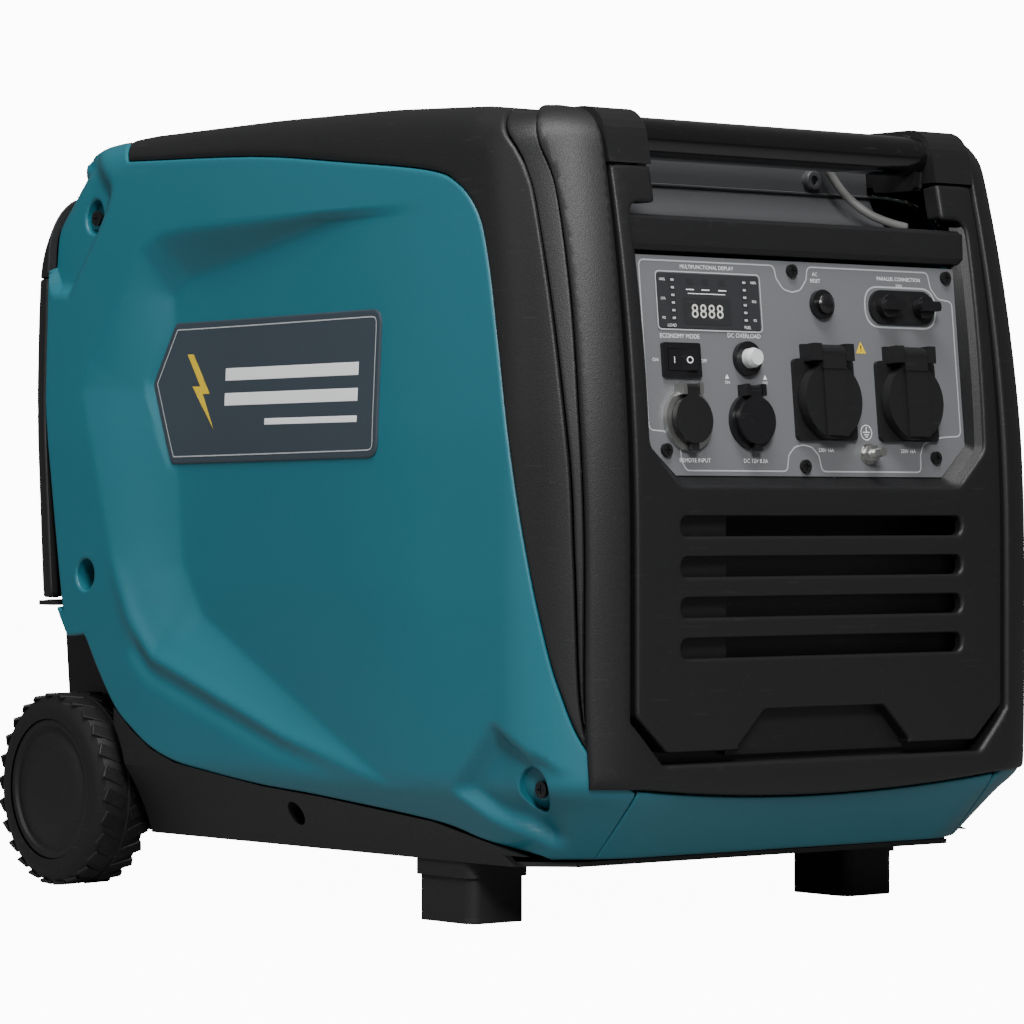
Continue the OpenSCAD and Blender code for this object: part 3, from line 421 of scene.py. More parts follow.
def flatMesh(loop, holes, step, rings=(0.5, 1.3, 2.6)):
    # Triangles over a loop with holes, with extra rings of points beside the edges
    loops = [dense(loop, step * 0.7)] + [dense(h, min(step * 0.7, 2.0)) for h in holes]
    pts, edges, ring = [], [], []
    for i, lp in enumerate(loops):
        base = len(pts)
        pts += lp
        edges += [(base + j, base + (j + 1) % len(lp)) for j in range(len(lp))]
        for d in rings:
            ring.append(inward(lp, d if i == 0 else -d))
    lo, hi = np.min(loops[0], 0), np.max(loops[0], 0)
    gx, gy = np.meshgrid(np.arange(lo[0], hi[0], step), np.arange(lo[1], hi[1], step * 0.866))
    gx = gx + (np.arange(gx.shape[0]) % 2)[:, None] * step / 2
    grid = np.stack([gx.ravel(), gy.ravel()], 1)
    keep = inLoop(grid, loops[0])
    dist = lineDistance(grid, loops[0])
    for h in loops[1:]:
        keep &= ~inLoop(grid, h)
        dist = np.minimum(dist, lineDistance(grid, h))
    grid = grid[keep & (dist > rings[-1] + step * 0.4)]
    extra = np.concatenate(ring)
    ok = inLoop(extra, loops[0])
    away = lineDistance(extra, loops[0])
    for h in loops[1:]:
        ok &= ~inLoop(extra, h)
        away = np.minimum(away, lineDistance(extra, h))
    extra = extra[ok & (away > rings[0] * 0.8)]
    every = np.concatenate([np.asarray(pts), extra, grid])
    res = delaunay_2d_cdt([Vector(p) for p in every.tolist()], edges, [], 0, 1e-4)
    v2 = np.array([[v.x, v.y] for v in res[0]])
    tri = np.array([f for f in res[2] if len(f) == 3])
    mid = v2[tri].mean(1)
    good = inLoop(mid, loops[0])
    for h in loops[1:]:
        good &= ~inLoop(mid, h)
    tri = tri[good]
    a, b, c = v2[tri[:, 0]], v2[tri[:, 1]], v2[tri[:, 2]]
    turn = (b[:, 0] - a[:, 0]) * (c[:, 1] - a[:, 1]) - (b[:, 1] - a[:, 1]) * (c[:, 0] - a[:, 0])
    tri = np.where((turn < 0)[:, None], tri[:, ::-1], tri)
    return v2, tri, loops


def patch(name, loop, holes, mat, place, step=4.0, inset=4.0, edge=1.2, depth=6.0, holeDepth=None,
    relief=None,
          flip=False, **kw):
    # place(points2d, insetArray) gives the points in space
    v2, tri, loops = flatMesh(loop, holes, step)
    away = lineDistance(v2, loops[0])
    for h in loops[1:]:
        away = np.minimum(away, lineDistance(v2, h))
    back = np.clip(edge - away, 0, edge)
    drop = edge - np.sqrt(np.maximum(edge ** 2 - back ** 2, 0))
    deep = inset + drop - (relief(v2) if relief else 0)
    verts = place(v2, deep)
    faces = [tuple(int(i) for i in (t[::-1] if flip else t)) for t in tri]
    verts = list(verts)
    for i, lp in enumerate(loops):
        d = depth if i == 0 or holeDepth is None else holeDepth[i - 1]
        q = np.asarray(lp)
        top = inset + edge - (relief(q) if relief else 0)
        a, b = place(q, top + 0 * q[:, 0]), place(q, inset + d + 0 * q[:, 0])
        base, n = len(verts), len(q)
        verts += list(a) + list(b)
        area = 0.5 * np.sum(q[:, 0] * np.roll(q[:, 1], -1) - np.roll(q[:, 0], -1) * q[:, 1])
        out = (area > 0) == (i == 0)
        for j in range(n):
            k = (j + 1) % n
            f = (base + j, base + n + j, base + n + k, base + k)
            faces.append(f if out != flip else f[::-1])
    return meshObject(name, verts, faces, mat, **kw)


def round3(p2, deep):
    return skinAt(p2[:, 0], p2[:, 1], deep)


def mirrorLoop(loop):
    return [(-u, v) for u, v in loop]


def rear3(p2, deep):
    w = p2[:, 0]
    return skinAt(np.where(w < 0, -1.0, 1.0) * (rearMid - np.abs(w)), p2[:, 1], deep)


print("body function")

coverLow = [(-240, 42.5), (-232, 47), (-200, 54.5), (-162, 63), (-55, 73), (4, 77), (60, 83), (95, 88),
    (122, 96), (143, 107),
            (163, 121), (182, 144), (197, 166), (200, 168)]
coverFront = [(-293, 96), (-285, 118), (-278, 142), (-271, 169), (-256, 236), (-241, 304), (-229, 358),
    (-219, 399),
              (-208, 427), (-188, 446), (-160, 456), (-70, 467), (19, 476), (140, 481), (165, 482)]
shellSeam = [(-290, 105), (-286, 140), (-284, 220), (-280, 286), (-266, 370), (-250, 434), (-238, 461),
    (-224, 478)]


def sideU(y):
    return y - cy + sideStart


coverFrontUV = spline(uvOf(coverFront), 4)
coverLoop = (
    [(149.6, 84.5), (149.6, 43)] + [(sideU(-240), 43)] + spline([(sideU(y), z) for y, z in coverLow], 4)
    + rounded([(sideU(200), 168), (sideU(219), 166.5), (sideU(236), 191)], [0, 4, 3])[1:]
    + uvOf([(250, 325), (252.5, 400)]) + [(sideU(250), 482.5), (sideU(190), 483.5), (sideU(178), 479)]
    + coverFrontUV[::-1]
)
pockets = [(sideU(-257) - 1.5, 86, 13.5, 14), (sideU(197), 208, 10.5, 16), (sideU(208), 446, 10.5, 14)]
field = {
    "outer": [(-62, 435), (99, 433), (127, 430), (144, 422), (198, 352), (206, 332), (165, 219), (144, 180),
        (122, 155), (66, 137),
              (-20, 108), (-128, 84), (-215, 80), (-215, 436)],
    "inner": [(-62, 434.5), (-20, 425), (105, 401), (122, 390), (121, 376), (104, 216), (80, 182), (33,
        159), (-128, 84.5), (-214, 81), (-214, 435.5)],
    "depth": 14.0, "from": -170.0, "to": 110.0,
}
badge = {"loop": [(141, 334), (118, 373), (-118, 374), (-118, 283), (118, 281)], "r": [5, 6, 10, 10, 6],
    "lift": 1.2}
badgeLoop = rounded(badge["loop"], badge["r"])


def softStep(t):
    t = np.clip(t, 0, 1)
    return t * t * (3 - 2 * t)


def fieldDepth(y):
    return field["depth"] * softStep((y - field["from"]) / (field["to"] - field["from"]))


def coverRelief(side):
    def relief(q):
        p = np.stack([q[:, 0] - sideStart + cy, q[:, 1]], 1)
        y, z = p[:, 0], p[:, 1]
        inside = inLoop(p, field["outer"])
        dOut, dIn = lineDistance(p, field["outer"]), lineDistance(p, field["inner"])
        core = inLoop(p, field["inner"])
        t = np.where(core, 1.0, np.where(inside, dOut / np.maximum(dOut + dIn, 1e-6), 0))
        soft = np.where(core, 1.0, t * 0.75 + softStep(t) * 0.25)
        h = -fieldDepth(y) * soft
        # ridge and valley below the bright lower slope
        ridge = [(206, 332), (165, 219), (144, 180), (122, 155), (66, 137), (-20, 108), (-128, 84)]
        dr = lineDistance(p, ridge, closed=False)
        below = ~inside
        fade = softStep((y + 128) / 120) * softStep((z - 80) / 20) * softStep((235 - z) / 60)
        h += 1.6 * np.exp(-(dr / 7) ** 2) * fade
        valley = [(140, 160), (121, 146), (66, 129), (-20, 103), (-105, 84)]
        dv = lineDistance(p, valley, closed=False)
        fadeV = softStep((y + 105) / 110) * softStep((160 - y) / 30)
        h -= 2.6 * np.exp(-(dv / 6.5) ** 2) * fadeV * np.where(below, 1, 0.25)
        # front pocket: a flat floor cut into the rounded corner
        front = [(-190, 84), (-231, 125), (-268, 104), (-300, 88), (-300, 52), (-256, 50), (-219, 67)]
        d = np.where(inLoop(p, front), lineDistance(p, [(-300, 50), (-256, 51), (-219, 67), (-190, 84),
            (-231, 125), (-262, 108)], closed=False), 0)
        wall = np.clip(d / 9, 0, 1)
        fadeF = softStep((y + 292) / 45)
        h -= 8.5 * (wall * 0.6 + softStep(wall) * 0.4) * fadeF
        # rear top pocket
        rear = [(204, 474), (178, 460), (198, 428), (226, 394), (243, 396), (262, 430), (262, 470)]
        d = np.where(inLoop(p, rear), lineDistance(p, [(204, 476), (178, 460), (198, 428), (226, 393), (262,
            396)], closed=False), 0)
        h -= 6.0 * softStep(d / 9)
        # flat pad under the badge
        pad = inLoop(p, badgeLoop)
        dp = lineDistance(p, badgeLoop)
        w = np.where(pad, 1.0, softStep(1 - dp / 4))
        h = h * (1 - w) - fieldDepth(y) * w
        return h
    return relief


def circle(c, r, n=40):
    return [(c[0] + r * math.cos(2 * math.pi * k / n),
        c[1] + r * math.sin(2 * math.pi * k / n)) for k in range(n)]


def pocketFloor(name, sign, u, v, r, deep, mat):
    # A shallow dished floor with a screw hole
    ring = []
    faces = []
    n = 40
    for j, (k, d) in enumerate(((1.0, deep), (0.55, deep + 1.0), (0.25, deep + 1.0), (0.25, deep + 4))):
        c = np.array(circle((u, v), r * k, n))
        ring += list(skinAt(sign * c[:, 0], c[:, 1], np.full(n, 4.0 + d)))
    for j in range(3):
        for k in range(n):
            f = (j * n + k, j * n + (k + 1) % n, (j + 1) * n + (k + 1) % n, (j + 1) * n + k)
            faces.append(f if sign > 0 else f[::-1])
    faces.append(tuple(range(3 * n, 4 * n))[::1 if sign > 0 else -1])
    return meshObject(name, ring, faces, mat)


def recoilHole():
    return rounded([(sideU(-158 - 65), 167), (sideU(-158 + 65), 167), (sideU(-158 + 65), 277),
        (sideU(-158 - 65), 277)], 14)


for sign, side in sides:
    holes = [circle((u, v), r) for u, v, r, d in pockets]
    if sign > 0:
        holes.append(recoilHole())
    loop = coverLoop if sign > 0 else mirrorLoop(coverLoop)
    hs = holes if sign > 0 else [mirrorLoop(h) for h in holes]
    rel = coverRelief(side)
    reliefSigned = (lambda q, rel=rel, sign=sign: rel(np.stack([sign * q[:, 0], q[:, 1]], 1)))
    patch("sideCover." + side, loop, hs, mats["cover_paint"], round3, step=3.6, edge=1.4, depth=7,
        holeDepth=[14, 16, 14, 6],
          relief=reliefSigned, replaces=[side + "_side_cover"], slot="cover_paint")
    for k, (u, v, r, d) in enumerate(pockets):
        pocketFloor("pocketFloor.%s.%d" % (side, k), sign, u, v, r, d - 0.2, mats["cover_paint"])
print("side covers")

bumperTop = [(x, 77 + 8.5 * (x / 149.5) ** 2) for x in range(-148, 149, 8)]
patch("bumper", [(-148.8, 43), (148.8, 43)] + bumperTop[::-1], [], mats["cover_paint"], round3, step=5,
    edge=1.2, depth=8,
      replaces=["front_bumper"], slot="cover_paint")

seamUV = spline(uvOf(shellSeam) + [(sideU(-210), 483), (sideU(-207), 486)], 4)
topEdge = 485.6
shellLoop = seamUV + [(sideU(186), topEdge), (sideU(180),
    481.2)] + [q for q in coverFrontUV[::-1] if q[1] > 108]
shellLoop = inward(dense(shellLoop, 3), 0.5).tolist()
for sign, side in sides:
    patch("sideShell." + side, shellLoop if sign > 0 else mirrorLoop(shellLoop), [], black,
        round3, step=4.5, edge=1.6,
          depth=6, replaces=[side + "_side_shell"], slot="black_plastic")

ringOuter = spline(uvOf([(-291.5, 87), (-291, 140), (-291, 230), (-287, 300), (-276, 380), (-262, 440),
    (-250, 468)], 0) + [(sideU(-232), 484), (sideU(-222), 495)], 4)
bottomEdge = [(x, 78.2 + 8.5 * (x / 149.5) ** 2) for x in range(-144, 145, 8)]
ringLoop = (ringOuter[::-1] + bottomEdge[::-1] + mirrorLoop(ringOuter)
            + [(-156.2, 495), (-156.2, 126), (-132, 100), (132, 100), (156.2, 126), (156.2, 495)])
patch("frontRing", ringLoop, [], black, round3, step=4.5, inset=0, edge=3.2, depth=14,
      replaces=["front_cowl"], slot="black_plastic")
bandLoop = inward(dense(ringOuter + [(sideU(-207.5), 495), (sideU(-207.5), 486)] + seamUV[:-2][::-1], 3),
    0.5).tolist()
for sign, side in sides:
    patch("cowlBand." + side, bandLoop if sign > 0 else mirrorLoop(bandLoop), [], black,
        round3, step=4.5, edge=1.2,
          depth=6, slot="black_plastic")


def top3(p2, deep):
    x, t = p2[:, 0], p2[:, 1]
    e = np.clip((t - 200) / 100, 0, 1) * math.pi / 2
    o = np.stack([x, np.minimum(t, 200), np.full(len(x), 415.0)], 1)
    d = np.stack([0 * x, np.sin(e), np.cos(e)], 1)
    lo, hi = np.zeros(len(x)), np.full(len(x), 200.0)
    for _ in range(26):
        m = (lo + hi) / 2
        out = outside(o + d * m[:, None]) > -deep
        hi, lo = np.where(out, m, hi), np.where(out, lo, m)
    return o + d * ((lo + hi) / 2)[:, None]


topLoop = [(-171, -206), (171, -206), (171, 188.5), (176.6, 190), (176.6, 300), (-176.6, 300), (-176.6,
    190), (-171, 188.5)]
topLoop = rounded(topLoop, [6, 6, 0, 0, 0, 0, 0, 0])
rearCorner = [(sideU(254.2), 408.4), (sideU(254.2), 470), (sideU(262), 478), (rearMid - 172, 478),
    (rearMid - 172, 408.4)]


def topRelief(q):
    x, t = q[:, 0], q[:, 1]
    # shallow sunk middle between two raised shoulders
    d = np.minimum(np.minimum(120 - np.abs(x), 185 - t), t + 180)
    return -3.5 * softStep(d / 14)


patch("topCover", topLoop, [circle((0, 95), 46)], black, top3, step=5, edge=1.6, depth=6,
    holeDepth=[24], relief=topRelief,
      replaces=["top_cover"], slot="black_plastic", flip=True)

for sign, side in sides:
    patch("topCorner." + side, rearCorner if sign > 0 else mirrorLoop(rearCorner), [],
        black, round3, step=5, edge=1.0, depth=6)

rearSides = uvOf([(237.5, 192), (251.2, 325), (254, 407.6)])
rearLoop3 = [(rearMid - u, v) for u, v in rearSides]
rearLoop3 = rearLoop3 + [(-w, v) for w, v in rearLoop3[::-1]]
louvres = []
for z in range(268, 365, 16):
    for x in (-84, 0, 84):
        louvres.append(rounded([(x - 29, z - 3), (x + 29, z - 3), (x + 29, z + 3), (x - 29, z + 3)], 2.9,
            4))
patch("rearPanel", rearLoop3, [circle((60, 205), 25)] + louvres, black, rear3, step=7,
    edge=1.2, depth=6,
      replaces=["rear_panel"], slot="black_plastic", flip=True)

bezel = {
    "skin": 1.5, "edge": 2.2, "depth": 12.5,
    "outline": [(-152, 455.5), (-152, 129), (-128, 107), (-71, 107), (-71, 110), (-50, 131), (50, 131), (71,
        110), (71, 107),
                (128, 107), (152, 129), (152, 455.5), (119.7, 455.5), (119.7, 433.5), (140.5,
                    433.5), (138.5, 288), (115, 265),
                (-117, 265), (-140.5, 288), (-140.5, 433.5), (-119.7, 433.5), (-119.7, 455.5)],
    "round": [2, 6, 6, 1, 3, 6, 6, 3, 1, 6, 6, 2, 2, 3, 9, 12, 12, 12, 12, 9, 3, 2],
    "slots": [168.5, 192.7, 216.9, 241.1], "slotHalf": 117, "slotHigh": 6,
}
slotHoles = [rounded([(-bezel["slotHalf"], z - bezel["slotHigh"]), (bezel["slotHalf"],
    z - bezel["slotHigh"]),
                      (bezel["slotHalf"], z + bezel["slotHigh"]), (-bezel["slotHalf"],
                          z + bezel["slotHigh"])], 5.6, 8) for z in bezel["slots"]]
patch("bezel", rounded(bezel["outline"], bezel["round"]), slotHoles, black, round3, step=5,
    inset=bezel["skin"],
      edge=bezel["edge"], depth=bezel["depth"], holeDepth=[6.5] * 4,
      replaces=["front_bezel"], slot="black_plastic")

lean = math.radians(5.5)


def onPanel(x, v, w=0.0):
    # A point given along the leaning control plate, up it and out of it
    return (x, -283.5 + v * math.sin(lean) - w * math.cos(lean),
        337 + v * math.cos(lean) + w * math.sin(lean))


def strip(name, rowA, rowB, mat, **kw):
    # A skin between two rows of points
    n = len(rowA)
    return meshObject(name, list(rowA) + list(rowB), [(i, i + 1, n + i + 1, n + i) for i in range(n - 1)],
        mat, **kw)


def recessWall():
    # The sloping wall between the bezel's face and the control plate
    outer = rounded([(140.5, 430), (138.5, 288), (115, 265), (-117, 265), (-140.5, 288), (-140.5, 430)], [0,
        12, 12, 12, 12, 0])
    inner = rounded([(133, 92), (133, -46), (110.6, -67), (-112.6, -67), (-135, -46), (-135, 92)], [0, 5, 5,
        5, 5, 0])
    a, b = [], []
    for i in range(len(outer) - 1):
        for j in range(8):
            t = j / 8
            a.append([outer[i][k] * (1 - t) + outer[i + 1][k] * t for k in (0, 1)])
            b.append([inner[i][k] * (1 - t) + inner[i + 1][k] * t for k in (0, 1)])
    a, b = np.array(a), np.array(b)
    rim = skinAt(a[:, 0], a[:, 1], np.full(len(a), 3.6))
    mid = skinAt(a[:, 0] * 0.972, a[:, 1] * 0.99 + 3.4, np.full(len(a), 6.5))
    foot = [onPanel(x * 0.994, v + 0.8, -0.8) for x, v in b]
    strip("recessRim", mid, rim, black)
    strip("recessWall", foot, mid, black)


recessWall()


def extrudeX(name, profile, x0, x1, mat, bodyName="body", step=6.0, closed=True, **kw):
    # A side-view outline of Y and Z pulled along X, with end faces if closed
    n = len(profile)
    xs = np.linspace(x0, x1, max(2, int((x1 - x0) / step)))
    verts = [(x, y, z) for x in xs for y, z in profile]
    last = n if closed else n - 1
    q = np.asarray(profile, float)
    area = np.sum(q[:, 0] * np.roll(q[:, 1], -1) - np.roll(q[:, 0], -1) * q[:, 1])
    faces = []
    for i in range(len(xs) - 1):
        for j in range(last):
            k = (j + 1) % n
            f = (i * n + j, i * n + k, (i + 1) * n + k, (i + 1) * n + j)
            faces.append(f[::-1] if area > 0 else f)
    if closed:
        base = (len(xs) - 1) * n
        lo, hi = tuple(range(n)), tuple(range(base, base + n))
        faces += [lo[::-1] if area > 0 else lo, hi if area > 0 else hi[::-1]]
    obj = meshObject(name, verts, faces, mat, bodyName, **kw)
    sharpen(obj, 35)
    return obj


def sharpen(obj, degrees):
    # Smooth shading only across gentle angles
    obj.data.set_sharp_from_angle(angle=math.radians(degrees))


extrudeX("ledge", rounded([(-276.5, 427), (-278.8, 424.5), (-280.8, 409), (-279.5, 405.5), (-272, 405.5),
    (-268.5, 421), (-268.5, 426.4)],
                          [1.5, 2, 1.2, 1, 0, 0, 1]), -140, 140, black)


def boxMesh(name, lo, hi, mat, bodyName="body", bevel=0.8, **kw):
    x0, y0, z0 = lo
    x1, y1, z1 = hi
    v = [(x, y, z) for x in (x0, x1) for y in (y0, y1) for z in (z0, z1)]
    f = [(0, 1, 3, 2), (4, 6, 7, 5), (0, 4, 5, 1), (2, 3, 7, 6), (0, 2, 6, 4), (1, 5, 7, 3)]
    obj = meshObject(name, v, f, mat, bodyName, smooth=False, **kw)
    if bevel:
        b = obj.modifiers.new("edge", "BEVEL")
        b.width = bevel * mm
        b.segments = 2
    return obj


grille = {"low": 157, "high": 253, "shallow": -73}
# Dark sheet behind the slots: painted shade standing in for the unlit inside of the case
boxMesh("grilleShadeScreen", (-150, -262, 150), (150, -260, 262), black, bevel=0)
boxMesh("grilleShelf", (-121, -291.5, grille["low"]), (grille["shallow"], -288.5, grille["high"]),
    black, bevel=0.6)
boxMesh("lowerBacking", (-150, -287, 86), (150, -284, 136), black, bevel=0)
boxMesh("fingerFloor", (-74, -291, 104), (74, -288.5, 134), black, bevel=0)

# pocket behind the handle, its screw boss and the breather hose
scoop = [(-270.5, 427.2), (-262, 425.4), (-247, 425.2), (-234, 429), (-224.5, 436), (-218.2, 445), (-216.2,
    449.4)]
pocketLine = spline(scoop, 2.2) + [(-217.4, 450.2), (-217.4, 451.0), (-214.4, 451.8), (-212.4, 470), (-212,
    486)]
back = [(y + 2.4, z - 1.2) for y, z in pocketLine[::-1]]
extrudeX("handlePocket", pocketLine + back, -118, 118, mats["dark_grey_plastic"],
    replaces=["handle_pocket"], slot="dark_grey_plastic")


def tube(name, points, r, mat, bodyName="body", around=16):
    # A round hose along a smooth line
    line = np.array(spline(points, 2.5))
    t = np.gradient(line, axis=0)
    t /= np.linalg.norm(t, axis=1)[:, None]
    side = np.cross(t, (0, 0, 1.0))
    side /= np.maximum(np.linalg.norm(side, axis=1), 1e-6)[:, None]
    up = np.cross(side, t)
    verts, faces, n = [], [], around
    for c, s, u in zip(line, side, up):
        turns = [2 * math.pi * k / n for k in range(n)]
        verts += [c + r * (s * math.cos(t) + u * math.sin(t)) for t in turns]
    for i in range(len(line) - 1):
        faces += [(i * n + k, (i + 1) * n + k, (i + 1) * n + (k + 1) % n,
            i * n + (k + 1) % n) for k in range(n)]
    faces += [tuple(range(n)), tuple(range((len(line) - 1) * n, len(line) * n))[::-1]]
    return meshObject(name, verts, faces, mat, bodyName)


def lathe(name, profile, centre, axis, mat, bodyName="body", around=96, **kw):
    # profile holds (distance along the axis, radius)
    a = Vector(axis).normalized()
    p = a.orthogonal().normalized()
    q = a.cross(p)
    verts, faces, n = [], [], len(profile)
    for k in range(around):
        t = 2 * math.pi * k / around
        d = p * math.cos(t) + q * math.sin(t)
        verts += [tuple(Vector(centre) + a * h + d * max(r, 0.001)) for h, r in profile]
    for k in range(around):
        m = (k + 1) % around
        faces += [(k * n + j, m * n + j, m * n + j + 1, k * n + j + 1) for j in range(n - 1)]
    obj = meshObject(name, verts, faces, mat, bodyName, **kw)
    obj.data.set_sharp_from_angle(angle=math.radians(38))
    return obj


tube("breatherHose", [(73, -219, 474), (79, -221, 464), (86, -228, 450), (96, -238, 438.5), (108, -246,
    432.5), (118, -250, 430)], 2.7, hosePale)
lathe("pocketBoss", [(-3, 6.5), (4.5, 6.2), (5.2, 5.4), (5.2, 3), (2, 2.6), (2, 0)], (68, -213.5, 459), (0,
    -1, 0.05), mats["dark_grey_plastic"], around=40)
lathe("pocketBossScrew", [(2, 2.9), (4, 2.7), (4.6, 1.6), (4.6, 0)], (68, -213.5, 459), (0, -1, 0.05),
    mats["dark_steel"], around=24)

# arch-shaped flanges that take the tube into the handle's ends
flange = {"inner": 112.0, "outer": 119.5}
flangeProfile = rounded([(-261, 454), (-263, 468), (-260, 480), (-250, 488.5), (-236, 489), (-228, 484),
    (-227, 454)], [2, 6, 8, 8, 6, 6, 2])
for s, side in sides:
    x0, x1 = sorted((s * flange["inner"], s * flange["outer"]))
    obj = extrudeX("handleFlange." + side, flangeProfile, x0, x1, black, "handle", step=20)
    b = obj.modifiers.new("edge", "BEVEL")
    b.width, b.segments, b.limit_method = 1.4 * mm, 3, "ANGLE"
print("front")

# side badges
badge["bolt"] = [(96, 352), (76, 326), (84, 326), (70, 303), (96, 331), (87, 331), (103, 352)]


def badgePlace(side):
    rel = coverRelief("left")

    def place(p2, deep):
        uv = np.stack([p2[:, 0] - cy + sideStart, p2[:, 1]], 1)
        return skinAt(side * uv[:, 0], uv[:, 1], deep - rel(uv))
    return place


for sign, side in sides:
    place = badgePlace(sign)
    replaced = ["side_badges"] if sign < 0 else []
    patch("badge." + side, rounded(badge["loop"], badge["r"]), [], mats["badge_foil"], place, step=6,
        inset=4 - badge["lift"], edge=0.5, depth=1.4,
          flip=sign < 0, replaces=replaced, slot="badge_foil")
    frameLine = np.asarray(dense(rounded(badge["loop"], badge["r"]), 3))
    ringA, ringB = inward(frameLine, 4.2), inward(frameLine, 5.0)
    pa = place(ringA, np.full(len(ringA), 4 - badge["lift"] - 0.15))
    pb = place(ringB, np.full(len(ringB), 4 - badge["lift"] - 0.15))
    n = len(ringA)
    faces = [(i, (i + 1) % n, n + (i + 1) % n, n + i) for i in range(n)]
    meshObject("badgeLine." + side, list(pa) + list(pb), faces if sign > 0 else [f[::-1] for f in faces],
        inkSilver)
    shapes = [(badge["bolt"], inkYellow, "bolt")]
    for k, (y0, y1, z0, z1) in enumerate(((-96, 58, 334, 342), (-96, 58, 318, 326), (-96, 10, 305, 309))):
        shapes.append(([(y0, z0), (y1, z0), (y1, z1), (y0, z1)], inkLight, "bar%d" % k))
    for shape, ink, label in shapes:
        patch("badgeMark.%s.%s" % (label, side), shape, [], ink, place, step=8,
            inset=4 - badge["lift"] - 0.16, edge=0.05, depth=0.1, flip=sign < 0)
print("badges")

# printing on the control plate
printed = {}


def printFaces(ink, verts, faces):
    box = printed.setdefault(ink, ([], []))
    base = len(box[0])
    box[0].extend(verts)
    box[1].extend([tuple(base + i for i in f) for f in faces])


def fill(ink, points, lift=0.12):
    # A flat printed shape, drawn anticlockwise
    res = delaunay_2d_cdt([Vector(p) for p in points],
        [(i, (i + 1) % len(points)) for i in range(len(points))], [], 0, 1e-4)
    pts = [tuple(v) for v in res[0]]
    keep = [f for f in res[2] if inLoop([np.mean([pts[i] for i in f], 0)], points)[0]]
    out = []
    for f in keep:
        a, b, c = (np.array(pts[i]) for i in f[:3])
        turn = (b - a)[0] * (c - a)[1] - (b - a)[1] * (c - a)[0]
        out.append(tuple(f) if turn > 0 else tuple(f)[::-1])
    printFaces(ink, [onPanel(x, v, lift) for x, v in pts], out)


def line(ink, points, width=0.8, closed=False, lift=0.12):
    p = np.asarray(points, float)
    if closed:
        t = np.roll(p, -1, 0) - np.roll(p, 1, 0)
    else:
        t = np.gradient(p, axis=0)
    t /= np.maximum(np.linalg.norm(t, axis=1), 1e-9)[:, None]
    n = np.stack([-t[:, 1], t[:, 0]], 1) * width / 2
    a, b, k = p + n, p - n, len(p)
    last = k if closed else k - 1
    printFaces(ink, [onPanel(x, v, lift) for x, v in np.concatenate([a, b])],
        [(i, k + i, k + (i + 1) % k, (i + 1) % k) for i in range(last)])


def words(ink, text, x, v, size, lift=0.14, spread=1.0):
    curve = bpy.data.curves.new("words", "FONT")
    curve.body, curve.size, curve.space_character = text, size, spread
    curve.align_x = curve.align_y = "CENTER"
    curve.resolution_u = 3
    obj = bpy.data.objects.new("words", curve)
    bpy.context.collection.objects.link(obj)
    mesh = bpy.data.meshes.new_from_object(obj.evaluated_get(bpy.context.evaluated_depsgraph_get()))
    verts = [onPanel(x + p.co.x, v + p.co.y, lift) for p in mesh.vertices]
    printFaces(ink, verts, [tuple(f.vertices) for f in mesh.polygons])
    bpy.data.objects.remove(obj)
    bpy.data.curves.remove(curve)
    bpy.data.meshes.remove(mesh)


plate = {
    "border": [(-131, 63), (-22, 63), (-20.5, 55), (-15, 48.5), (-8, 47), (-1, 48.5), (4.5, 55), (6, 63),
        (109, 63), (111, 53), (117, 46.5),
               (129, 45), (129, -40), (112, -41), (96, -45), (92.5, -52), (92, -63), (7.5, -63), (5.5,
                   -53), (0, -48), (-7, -46.8),
               (-14, -48), (-19.5, -53), (-21.5, -63), (-103, -63), (-106.5, -58), (-107.5, -48), (-112,
                   -41.5), (-120, -39.5), (-131, -39)],
    "round": [4, 4, 5, 6, 6, 6, 5, 4, 4, 6, 6, 4, 4, 3, 6, 6, 4, 4, 5, 6, 6, 6, 5, 4, 4, 4, 5, 5, 4, 4],
}
line("inkSilver", rounded(plate["border"], plate["round"], 6), 0.9, closed=True)
line("inkSilver", rounded([(-119, 21.5), (-35, 21.5), (-35, 56.5), (-119, 56.5)], 3, 6), 0.8, closed=True,
    lift=0.75)
labels = [
    ("MULTIFUNCTIONAL DISPLAY", -77, 59.7, 3.3), ("ECONOMY MODE", -102, 17.6, 3.9),
    ("ON", -122.5, 3, 3.0), ("OFF", -84, 3, 3.0), ("DC OVERLOAD", -50, 19, 3.9), ("AC", 12, 58.6, 3.2),
    ("RESET", 12, 54.6, 3.2), ("PARALLEL CONNECTION", 83.5, 57.8, 3.3), ("230V", 83.5, 53.6, 2.8),
    ("REMOTE INPUT", -96, -57, 3.6), ("DC 12V 8.3A", -47, -57, 3.6), ("230V 16A", 12, -50, 3.2),
    ("230V 16A", 82, -50, 3.2), ("ON", -66, -9.5, 2.6), ("OFF", -35, -9.5, 2.6),
]
for text, x, v, size in labels:
    words("inkLight", text, x, v, size)
for x in (-66, -35):
    fill("inkLight", [(x - 1.6, -7.2), (x + 1.6, -7.2), (x, -4.4)])
line("inkSilver", rounded([(53, 27.4), (114, 27.4), (114, 52.6), (53, 52.6)], 12, 10), 1.1, closed=True)
for x, v, r in ((83.5, 38.5, 3.9), (47, 13.8, 4.3)):
    tri = [(x - r, v - r * 0.75), (x + r, v - r * 0.75), (x, v + r)]
    fill("inkYellow", tri)
    fill("inkDark", [(x - 0.35, v - 0.6), (x + 0.35, v - 0.6), (x + 0.5, v + 1.7), (x - 0.5, v + 1.7)], 0.2)
    fill("inkDark", circle((x, v - 1.7), 0.5, 10), 0.2)
line("inkLight", circle((47, -38.6), 4.6, 32), 0.5, closed=True)
for k, (half, v) in enumerate(((2.9, -38.4), (1.9, -39.9), (0.9, -41.2))):
    fill("inkLight", [(47 - half, v - 0.3), (47 + half, v - 0.3), (47 + half, v + 0.3), (47 - half,
        v + 0.3)])
